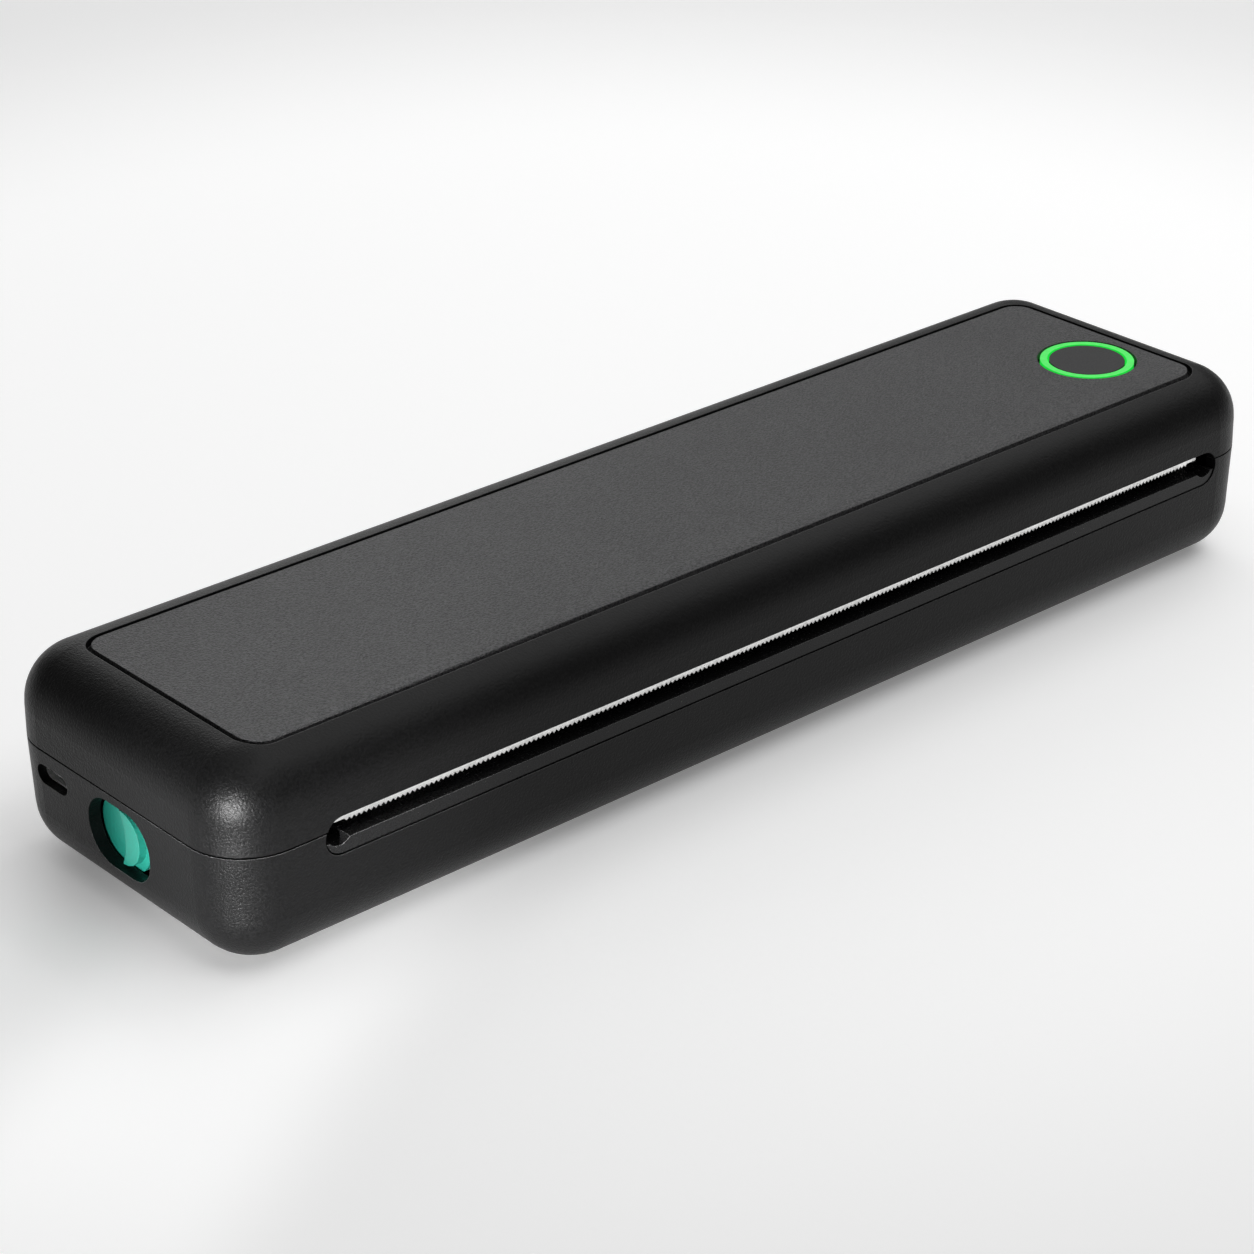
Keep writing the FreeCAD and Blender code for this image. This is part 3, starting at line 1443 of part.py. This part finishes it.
def tear_bar():
    """The steel strip behind the slot's upper edge, with a saw edge that points down."""
    teeth = int(number(s.tear_teeth))
    left, right = number(s.tear_left), number(s.tear_right)
    low, high = number(s.tear_bottom), number(s.tear_top)
    gullet = low + number(s.tear_tooth_depth)
    saw_left = left + number(s.tear_plain_end)
    saw_right = right - number(s.tear_plain_end)
    pitch = (saw_right - saw_left) / teeth
    y = number(s.front_inside) + number(s.tear_setback)
    points = [V(left, y, high), V(left, y, gullet), V(saw_left, y, gullet)]
    for tooth in range(teeth):
        points.append(V(saw_left + pitch * (tooth + 0.5), y, low))
        points.append(V(saw_left + pitch * (tooth + 1), y, gullet))
    points.append(V(right, y, gullet))
    points.append(V(right, y, high))
    strip = Part.Face(Part.makePolygon(points + points[:1])).extrude(V(0, number(s.tear_thickness), 0))
    for x, z in tear_screw_spots():
        strip = strip.cut(
            Part.makeCylinder(
                number(s.screw_radius) + number(s.tight_gap),
                number(s.wall) * 2,
                V(number(x), y - number(s.wall), number(z)),
                V(0, 1, 0),
            )
        )
    keep("tear_bar", shaped(strip))
    seat = s.front_inside + s.tear_setback + s.tear_thickness
    screws = []
    for x, z in tear_screw_spots():
        screws.append(
            fuse(
                rod("Y", (x, z), s.screw_head_radius, (seat, seat + s.screw_head_height)),
                rod("Y", (x, z), s.screw_radius, (s.front_inside - s.wall / 2, seat)),
            )
        )
    keep("tear_bar_screws", group(*screws))


def liner_screw_spots():
    inset = s.screw_length
    middle = (s.liner_left + s.liner_right) / 2
    return [
        (x, y)
        for x in (s.liner_left + inset, middle)
        for y in (s.liner_front + inset, s.liner_back - inset)
    ]


def cover_liner():
    """The inner panel of the cover, with the platen brackets and curved paper guides below it."""
    bottom = s.ceiling - s.liner_thickness
    plate = block((s.liner_left, s.liner_right), (s.liner_front, s.liner_back), (bottom, s.ceiling))
    pieces = [plate]
    rooms = []
    for ends in platen_brackets():
        deep = (s.platen_y - s.bracket_radius, s.platen_y + s.bush_radius)
        pieces.append(rod("X", s.platen_centre, s.bracket_radius, ends))
        pieces.append(block(ends, deep, (s.platen_z, s.ceiling)))
        spread = (ends[0] - s.overrun, ends[1] + s.overrun)
        rooms.append(rod("X", s.platen_centre, s.bush_radius + s.tight_gap, spread))
    count = int(number(s.guide_ribs))
    run = s.button_x - s.button_board_reach - s.platen_left
    for i in range(count):
        x = s.platen_left + run * ((i + 0.5) / count)
        root = s.platen_y + s.platen_radius + s.knuckle_gap * 2
        pieces.append(
            prism(
                "YZ",
                [
                    (root, bottom),
                    (root, bottom - s.guide_rib_depth),
                    (root + s.guide_rib, bottom - s.guide_rib_depth),
                    (root + s.guide_rib_run, bottom),
                ],
                (x - s.guide_rib / 2, x + s.guide_rib / 2),
            )
        )
    rooms.append(
        rod(
            "Z",
            (s.button_x, s.button_y),
            s.ring_outer + s.ring_flange + s.knuckle_gap,
            (bottom - s.overrun, s.ceiling + s.overrun),
        )
    )
    through = (bottom - s.overrun, s.ceiling + s.overrun)
    for spot in button_board_spots():
        rooms.append(rod("Z", spot, s.post_radius + s.knuckle_gap, through))
    screws = []
    shank_end = s.ceiling + (s.top_wall - s.panel_depth) / 2
    for spot in liner_screw_spots():
        rooms.append(rod("Z", spot, s.screw_radius + s.tight_gap, through))
        screws.append(
            fuse(
                rod("Z", spot, s.screw_head_radius, (bottom - s.screw_head_height, bottom)),
                rod("Z", spot, s.screw_radius, (bottom, shank_end)),
            )
        )
    keep("cover_liner", cut(fuse(*pieces), *rooms))
    keep("liner_screws", group(*screws))


def finish():
    """Check every object and write each named piece to its own file."""
    doc.recompute()
    faults = [o.Name for o in doc.Objects if {"Invalid", "Error"} & set(o.State)]
    if faults:
        raise RuntimeError(f"objects that did not build: {faults}")
    for name, part in nodes.items():
        shape = part.Shape
        if shape.isNull() or not shape.isValid():
            raise RuntimeError(f"{name} has no valid shape")
    for name, part in nodes.items():
        part.Shape.exportStep(f"parts/{name}.step")
        print(f"{name}: {len(part.Shape.Solids)} solids, {part.Shape.Volume:.1f} mm3")


lower_shell()
exit_lip()
rubber_feet()
hinge_pins()
inner_frame()
battery_cells()
main_board()
usb_parts()
print_head()
drive()
platen()
latch()
latch_striker()
upper_shell()
top_panel()
button_parts()
tear_bar()
cover_liner()
finish()
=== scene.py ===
import json
import math
from collections import namedtuple

import bpy
from mathutils import Matrix, Vector

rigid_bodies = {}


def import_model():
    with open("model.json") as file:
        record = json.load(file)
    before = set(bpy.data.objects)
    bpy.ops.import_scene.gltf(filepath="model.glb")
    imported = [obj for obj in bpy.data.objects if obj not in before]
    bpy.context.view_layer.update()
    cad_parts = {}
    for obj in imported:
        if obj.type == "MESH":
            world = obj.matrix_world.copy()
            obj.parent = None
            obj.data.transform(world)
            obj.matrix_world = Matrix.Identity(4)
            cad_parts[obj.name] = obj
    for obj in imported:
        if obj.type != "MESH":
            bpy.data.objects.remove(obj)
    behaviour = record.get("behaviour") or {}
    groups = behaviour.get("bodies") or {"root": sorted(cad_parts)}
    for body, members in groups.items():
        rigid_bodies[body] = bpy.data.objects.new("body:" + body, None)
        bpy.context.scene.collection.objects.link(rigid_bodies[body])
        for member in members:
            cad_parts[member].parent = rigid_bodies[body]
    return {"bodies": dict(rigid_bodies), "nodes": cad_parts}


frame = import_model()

# A portable thermal printer on a pale studio table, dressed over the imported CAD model.
# Everything is in metres, in the CAD frame: X along the bar, -Y the front, Z up.

MM = 0.001
NODES = frame["nodes"]
WHITE = (1.0, 1.0, 1.0, 1.0)


def clear_defaults():
    """Take away whatever the empty file held beside the frame."""
    known = set(NODES.values()) | set(frame["bodies"].values())
    for thing in list(bpy.data.objects):
        if thing not in known:
            bpy.data.objects.remove(thing)


clear_defaults()
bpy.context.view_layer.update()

# Camera, fitted to the photograph, whose side is 1254 pixels.
IMAGE_SIDE = 1254
FOCAL_PIXELS = 3452.9
SENSOR = 36.0
YAW = math.radians(48.78)
PITCH = math.radians(26.83)
ROLL = math.radians(-0.456)
CAMERA_DISTANCE = 663.42 * MM
CAMERA_SHIFT_RIGHT = -9.83 * MM
CAMERA_SHIFT_UP = 10.78 * MM
CLIP_NEAR = 0.01
CLIP_FAR = 50.0


def add_camera():
    """Look at the object from its front left, above, with the photograph's perspective."""
    forward = Vector((math.cos(YAW) * math.cos(PITCH), math.sin(YAW) * math.cos(PITCH), -math.sin(PITCH)))
    right = Vector((math.sin(YAW), -math.cos(YAW), 0.0))
    up = right.cross(forward)
    rolled_right = right * math.cos(ROLL) + up * math.sin(ROLL)
    rolled_up = up * math.cos(ROLL) - right * math.sin(ROLL)
    place = -forward * CAMERA_DISTANCE + right * CAMERA_SHIFT_RIGHT + up * CAMERA_SHIFT_UP
    lens = bpy.data.cameras.new("photo_camera")
    lens.sensor_width = SENSOR
    lens.lens = SENSOR * FOCAL_PIXELS / IMAGE_SIDE
    lens.clip_start = CLIP_NEAR
    lens.clip_end = CLIP_FAR
    camera = bpy.data.objects.new("photo_camera", lens)
    camera.matrix_world = Matrix(
        (
            (rolled_right.x, rolled_up.x, -forward.x, place.x),
            (rolled_right.y, rolled_up.y, -forward.y, place.y),
            (rolled_right.z, rolled_up.z, -forward.z, place.z),
            (0.0, 0.0, 0.0, 1.0),
        )
    )
    bpy.context.scene.collection.objects.link(camera)
    bpy.context.scene.camera = camera


# Each lamp is a rectangle that faces its target. Its place is given from there: azimuth 0 is +X and
# 90 is +Y, in degrees, like the elevation and the spread of the beam. The sizes are in metres.
NEAR_CORNER = Vector((-120.0, -28.0, 18.0)) * MM
Lamp = namedtuple(
    "Lamp", "azimuth elevation distance width height spread watts target", defaults=(Vector(),)
)
LAMPS = {
    "overhead": Lamp(90.0, 86.0, 1.3, 1.3, 1.3, 180.0, 3.7),
    "back": Lamp(52.0, 36.0, 1.4, 1.1, 0.7, 180.0, 2.7),
    "back_low": Lamp(70.0, 20.0, 1.4, 0.9, 0.5, 180.0, 1.9),
    "corner": Lamp(-148.0, 3.0, 0.9, 0.05, 0.04, 2.2, 0.036, NEAR_CORNER),
    "front": Lamp(-75.0, 58.0, 1.4, 0.9, 0.6, 180.0, 4.0),
    "right": Lamp(0.0, 50.0, 1.4, 0.9, 0.9, 180.0, 4.6),
}
AMBIENT = 0.16


def add_lamp(name, lamp):
    """One rectangular studio lamp, turned to its target."""
    light = bpy.data.lights.new(name, "AREA")
    light.shape = "RECTANGLE"
    light.size = lamp.width
    light.size_y = lamp.height
    light.spread = math.radians(lamp.spread)
    light.energy = lamp.watts
    azimuth = math.radians(lamp.azimuth)
    elevation = math.radians(lamp.elevation)
    level = math.cos(elevation)
    away = Vector((math.cos(azimuth) * level, math.sin(azimuth) * level, math.sin(elevation)))
    place = away * lamp.distance + lamp.target
    thing = bpy.data.objects.new(name, light)
    thing.matrix_world = Matrix.Translation(place) @ away.to_track_quat("Z", "Y").to_matrix().to_4x4()
    bpy.context.scene.collection.objects.link(thing)


def add_world():
    """An even white surround that fills the shadows."""
    world = bpy.data.worlds.new("studio")
    world.use_nodes = True
    background = world.node_tree.nodes["Background"]
    background.inputs["Color"].default_value = WHITE
    background.inputs["Strength"].default_value = AMBIENT
    bpy.context.scene.world = world


def opaque(colour):
    return tuple(colour) + (1.0,)


class Tree:
    """A new material with one glossy shader, and short calls that add and join its nodes."""

    def __init__(self, name):
        self.material = bpy.data.materials.new(name)
        self.material.use_nodes = True
        self.tree = self.material.node_tree
        self.shader = self.tree.nodes["Principled BSDF"]

    def set(self, node, socket, value):
        """Join what another node gives to a socket, or write a plain value there."""
        if isinstance(value, bpy.types.NodeSocket):
            self.tree.links.new(value, node.inputs[socket])
        else:
            node.inputs[socket].default_value = value

    def add(self, kind, *inputs, output=0, settings=None, **sockets):
        """Add a node with its first inputs in order and others by name, and give back one output."""
        node = self.tree.nodes.new("ShaderNode" + kind)
        for name, value in (settings or {}).items():
            setattr(node, name, value)
        for number, value in enumerate(inputs):
            self.set(node, number, value)
        for name, value in sockets.items():
            self.set(node, name.replace("_", " "), value)
        return node.outputs[output]

    def own_place(self):
        """The piece's own coordinates, in metres."""
        return self.add("TexCoord", output="Object")

    def noise(self, size, detail=2.0, stretch=(1.0, 1.0, 1.0), distortion=0.0):
        place = self.add("Mapping", Vector=self.own_place(), Scale=stretch)
        return self.add("TexNoise", Vector=place, Scale=1.0 / size, Detail=detail, Distortion=distortion)

    def remap(self, value, low, high, band=(0.0, 1.0), smooth=False):
        """Spread a band of values over low to high, and hold the ends."""
        way = {"interpolation_type": "SMOOTHSTEP" if smooth else "LINEAR"}
        start, end = band
        return self.add(
            "MapRange", settings=way, Value=value, From_Min=start, From_Max=end, To_Min=low, To_Max=high
        )

    def calculate(self, operation, *values):
        return self.add("Math", *values, settings={"operation": operation})

    def measure(self, operation, *vectors):
        """A number from two vectors, such as their dot product or distance."""
        return self.add("VectorMath", *vectors, output="Value", settings={"operation": operation})

    def mix(self, share, first, second, blend="MIX"):
        """Mix two colours. Such a node has them as inputs 6 and 7 and the result as output 2."""
        node = self.tree.nodes.new("ShaderNodeMix")
        node.data_type = "RGBA"
        node.blend_type = blend
        for number, value in ((0, share), (6, first), (7, second)):
            self.set(node, number, value)
        return node.outputs[2]

    def toned(self, colour, tone):
        """A colour, lighter and darker with a tone."""
        return self.mix(1.0, opaque(colour), tone, blend="MULTIPLY")

    def bump(self, height, distance, under=None):
        sockets = {"Height": height, "Distance": distance, "Strength": 1.0}
        if under is not None:
            sockets["Normal"] = under
        return self.add("Bump", **sockets)

    def finish(self, **sockets):
        """Set the shader's named sockets and give back the material."""
        for name, value in sockets.items():
            self.set(self.shader, name.replace("_", " "), value)
        return self.material


# Noise seldom leaves the middle of its range, so what it drives is spread over this band.
NOISE_BAND = (0.3, 0.7)
GRAIN_BAND = (0.35, 0.65)

# Moulded plastic: a second, finer grain lies on the first, and wide patches differ faintly.
GRAIN_DISTORTION = 0.2
FINE_GRAIN = 0.35
FINE_HEIGHT = 0.3
PATCH_SIZE = 18.0 * MM
PATCH_TONE = 0.06
GRAIN_ROUGHNESS = 0.05

# A rounded edge gets a painted highlight where its normal turns away from the face's, if it looks
# upwards.
BEVEL_SAMPLES = 4
HIGHLIGHT_EDGE_BAND = (0.8, 0.985)
UPWARD_BAND = (0.0, 0.2)


def painted_edge_highlight(t, rounded, colour, edge_highlight):
    """Paint a highlight on the upward edges, where the rounded normal turns away from the face."""
    flat = t.add("NewGeometry", output="Normal")
    turn = t.measure("DOT_PRODUCT", rounded, flat)
    edges = t.remap(turn, 1.0, 0.0, HIGHLIGHT_EDGE_BAND)
    upward = t.remap(t.add("SeparateXYZ", output="Z", Vector=rounded), 0.0, 1.0, UPWARD_BAND)
    return t.mix(t.calculate("MULTIPLY", edges, upward), colour, opaque((edge_highlight,) * 3))


def moulded(name, colour, roughness, grain, depth, specular=0.5, edge=0.0, speckle=0.1, edge_highlight=0.0):
    """Moulded plastic with a fine leathery grain, softly rounded edges with a painted highlight on the
    upward ones, and faint unevenness.
    """
    t = Tree(name)
    cells = t.noise(grain, distortion=GRAIN_DISTORTION)
    fine = t.noise(grain * FINE_GRAIN, detail=1.0)
    height = t.calculate("MULTIPLY_ADD", fine, FINE_HEIGHT, cells)
    rounded = t.add("Bevel", settings={"samples": BEVEL_SAMPLES}, Radius=edge) if edge else None
    patches = t.remap(t.noise(PATCH_SIZE, detail=3.0), 1.0 - PATCH_TONE, 1.0 + PATCH_TONE, NOISE_BAND)
    grains = t.remap(cells, 1.0 - speckle, 1.0 + speckle, GRAIN_BAND)
    base = t.toned(colour, t.calculate("MULTIPLY", patches, grains))
    # Painted highlight: upward rounded edges are lightened towards a pale grey.
    if edge and edge_highlight:
        base = painted_edge_highlight(t, rounded, base, edge_highlight)
    rough = t.remap(cells, roughness - GRAIN_ROUGHNESS, roughness + GRAIN_ROUGHNESS, NOISE_BAND)
    t.set(t.shader, "Specular IOR Level", specular)
    return t.finish(Base_Color=base, Roughness=rough, Normal=t.bump(height, depth, under=rounded))


def shell_plastic():
    return moulded(
        "shell_plastic", (0.003, 0.003, 0.0031), roughness=0.4, grain=0.42 * MM, depth=0.09 * MM,
        specular=0.15, edge=0.18 * MM, speckle=0.4, edge_highlight=0.12,
    )


def panel_plastic():
    return moulded(
        "panel_plastic", (0.06, 0.06, 0.0615), roughness=0.44, grain=0.42 * MM, depth=0.3 * MM,
        specular=0.27, edge=0.15 * MM, speckle=0.55, edge_highlight=0.05,
    )


def button_plastic():
    return moulded(
        "button_plastic", (0.014, 0.014, 0.015), roughness=0.5, grain=0.3 * MM, depth=0.01 * MM,
        specular=0.3, edge=0.25 * MM,
    )


def inner_plastic():
    return moulded(
        "inner_plastic", (0.02, 0.02, 0.02), roughness=0.55, grain=0.4 * MM, depth=0.01 * MM, specular=0.4
    )


def lip_plastic():
    return moulded(
        "lip_plastic", (0.006, 0.006, 0.0062), roughness=0.28, grain=0.4 * MM, depth=0.006 * MM,
        specular=0.2, edge=0.2 * MM, edge_highlight=0.15,
    )


def release_plastic():
    return moulded(
        "release_plastic", (0.009, 0.16, 0.12), roughness=0.4, grain=0.5 * MM, depth=0.006 * MM,
        edge=0.2 * MM,
    )


def gear_white():
    return moulded("gear_white", (0.75, 0.74, 0.7), roughness=0.4, grain=0.3 * MM, depth=0.004 * MM)


def chip_black():
    return moulded("chip_black", (0.012, 0.012, 0.013), roughness=0.4, grain=0.2 * MM, depth=0.004 * MM)


def head_ceramic():
    return moulded("head_ceramic", (0.03, 0.02, 0.018), roughness=0.2, grain=0.5 * MM, depth=0.001 * MM)


def cell_wrap():
    return moulded("cell_wrap", (0.015, 0.07, 0.28), roughness=0.3, grain=0.9 * MM, depth=0.01 * MM)


# Metal: its marks make it smoother or rougher by these, and wide patches change its tone.
SMOOTHER = 0.08
ROUGHER = 0.1
METAL_PATCH = 9.0 * MM
METAL_TONES = (0.9, 1.05)


def metal(name, colour, roughness, brush=(1.0, 1.0, 1.0), size=0.4 * MM, depth=0.004 * MM):
    """Metal whose fine marks can run along one axis."""
    t = Tree(name)
    marks = t.noise(size, detail=3.0, stretch=brush)
    rough = t.remap(marks, roughness - SMOOTHER, roughness + ROUGHER, NOISE_BAND)
    tone = t.remap(t.noise(METAL_PATCH), *METAL_TONES, NOISE_BAND)
    t.set(t.shader, "Metallic", 1.0)
    return t.finish(Base_Color=t.toned(colour, tone), Roughness=rough, Normal=t.bump(marks, depth))


def steel():
    return metal("steel", (0.62, 0.62, 0.63), roughness=0.3, brush=(0.05, 1.0, 1.0))


def nickel():
    return metal("nickel", (0.9, 0.9, 0.9), roughness=0.42, size=0.2 * MM)


def tear_steel():
    return metal("tear_steel", (0.93, 0.93, 0.92), roughness=0.3, size=0.5 * MM, depth=0.05 * MM)


def screw_steel():
    return metal("screw_steel", (0.35, 0.35, 0.37), roughness=0.35)


def motor_can():
    return metal("motor_can", (0.5, 0.5, 0.5), roughness=0.3, brush=(1.0, 0.1, 0.1))


def brass():
    return metal("brass", (0.75, 0.5, 0.16), roughness=0.3)


def head_aluminium():
    return metal("head_aluminium", (0.7, 0.7, 0.72), roughness=0.4, brush=(0.05, 1.0, 1.0))


def lit_ring():
    """A green diffuser with a faintly uneven glow, under a clear moulded face."""
    t = Tree("lit_ring")
    glow = t.remap(t.noise(1.5 * MM), 0.82, 0.98, NOISE_BAND)
    t.set(t.shader, "Emission Color", (0.008, 0.72, 0.05, 1.0))
    t.set(t.shader, "Coat Weight", 0.15)
    t.set(t.shader, "Coat Roughness", 0.12)
    return t.finish(Base_Color=(0.005, 0.16, 0.02, 1.0), Roughness=0.35, Emission_Strength=glow)


def board_green():
    """Green solder mask over faint copper tracks."""
    t = Tree("board_green")
    tracks = t.noise(1.2 * MM, detail=1.0, stretch=(1.0, 4.0, 1.0))
    mask = t.remap(tracks, 0.0, 1.0, band=(0.52, 0.56))
    colour = t.mix(mask, (0.006, 0.09, 0.03, 1.0), (0.02, 0.16, 0.06, 1.0))
    return t.finish(Base_Color=colour, Roughness=0.35, Normal=t.bump(mask, 0.03 * MM))


def rubber(name, colour):
    """Dull rubber with fine dust and soft patches."""
    t = Tree(name)
    dust = t.noise(0.35 * MM, detail=4.0)
    rough = t.remap(dust, 0.7, 0.9, NOISE_BAND)
    tone = t.remap(t.noise(7.0 * MM), 0.8, 1.25, NOISE_BAND)
    return t.finish(Base_Color=t.toned(colour, tone), Roughness=rough, Normal=t.bump(dust, 0.01 * MM))


def dress(material, *names):
    """Give the named CAD nodes a material."""
    for name in names:
        slots = NODES[name].data.materials
        slots.clear()
        slots.append(material)


def dress_outside():
    dress(shell_plastic(), "upper_shell", "lower_shell")
    dress(panel_plastic(), "top_panel")
    dress(button_plastic(), "power_button")
    dress(lit_ring(), "light_ring")
    dress(lip_plastic(), "exit_lip")
    dress(tear_steel(), "tear_bar")
    dress(release_plastic(), "release_button")
    dress(nickel(), "usb_c_socket")
    dress(rubber("foot_rubber", (0.02, 0.02, 0.02)), "rubber_feet")


def dress_inside():
    dress(inner_plastic(), "cover_liner", "inner_frame", "latch_carrier", "paper_sensor")
    dress(rubber("roller_rubber", (0.03, 0.03, 0.03)), "platen_roller")
    dress(
        steel(), "platen_shaft", "hinge_pins", "head_pivot_pin", "gear_plate", "gear_stud",
        "head_springs", "latch_spring", "latch_striker",
    )
    dress(screw_steel(), *[name for name in NODES if name.endswith(("_screws", "_screw"))])
    dress(gear_white(), "platen_gear", "reduction_gear", "platen_bushes")
    dress(brass(), "motor_pinion")
    dress(motor_can(), "feed_motor")
    dress(head_ceramic(), "print_head")
    dress(head_aluminium(), "head_plate")
    dress(board_green(), "main_board", "usb_board", "button_board")
    dress(chip_black(), "board_chips", "tact_switch")
    dress(cell_wrap(), "battery_cells")


# The table glows weakly, and a pool of light is painted on its paper: paler around a point behind the
# printer.
TABLE_HALF_SIDE = 6.0
TABLE_GLOW = 0.2
PAPER = (0.97, 0.97, 0.97)
PAINTED_POOL_CENTRE = Vector((60.0, 90.0, 0.0)) * MM
PAINTED_POOL_EDGE = (0.2, 0.4)
TONE_BEYOND_PAINTED_POOL = 0.72


def table_paper():
    t = Tree("studio_paper")
    away = t.measure("DISTANCE", t.own_place(), PAINTED_POOL_CENTRE)
    # Painted pool of light: the paper grows darker away from the point behind the printer.
    tone = t.remap(away, 1.0, TONE_BEYOND_PAINTED_POOL, PAINTED_POOL_EDGE, smooth=True)
    t.set(t.shader, "Emission Color", WHITE)
    return t.finish(Base_Color=t.toned(PAPER, tone), Roughness=0.9, Emission_Strength=TABLE_GLOW)


def add_floor():
    """A pale light table with a painted pool of light, wide enough to fill the view."""
    side = TABLE_HALF_SIDE
    mesh = bpy.data.meshes.new("studio_floor")
    corners = [(-side, -side, 0.0), (side, -side, 0.0), (side, side, 0.0), (-side, side, 0.0)]
    mesh.from_pydata(corners, [], [(0, 1, 2, 3)])
    mesh.materials.append(table_paper())
    floor = bpy.data.objects.new("studio_floor", mesh)
    bpy.context.scene.collection.objects.link(floor)


dress_outside()
dress_inside()
add_floor()
for lamp_name in LAMPS:
    add_lamp(lamp_name, LAMPS[lamp_name])
add_world()
add_camera()
bpy.context.scene.view_settings.view_transform = "Standard"
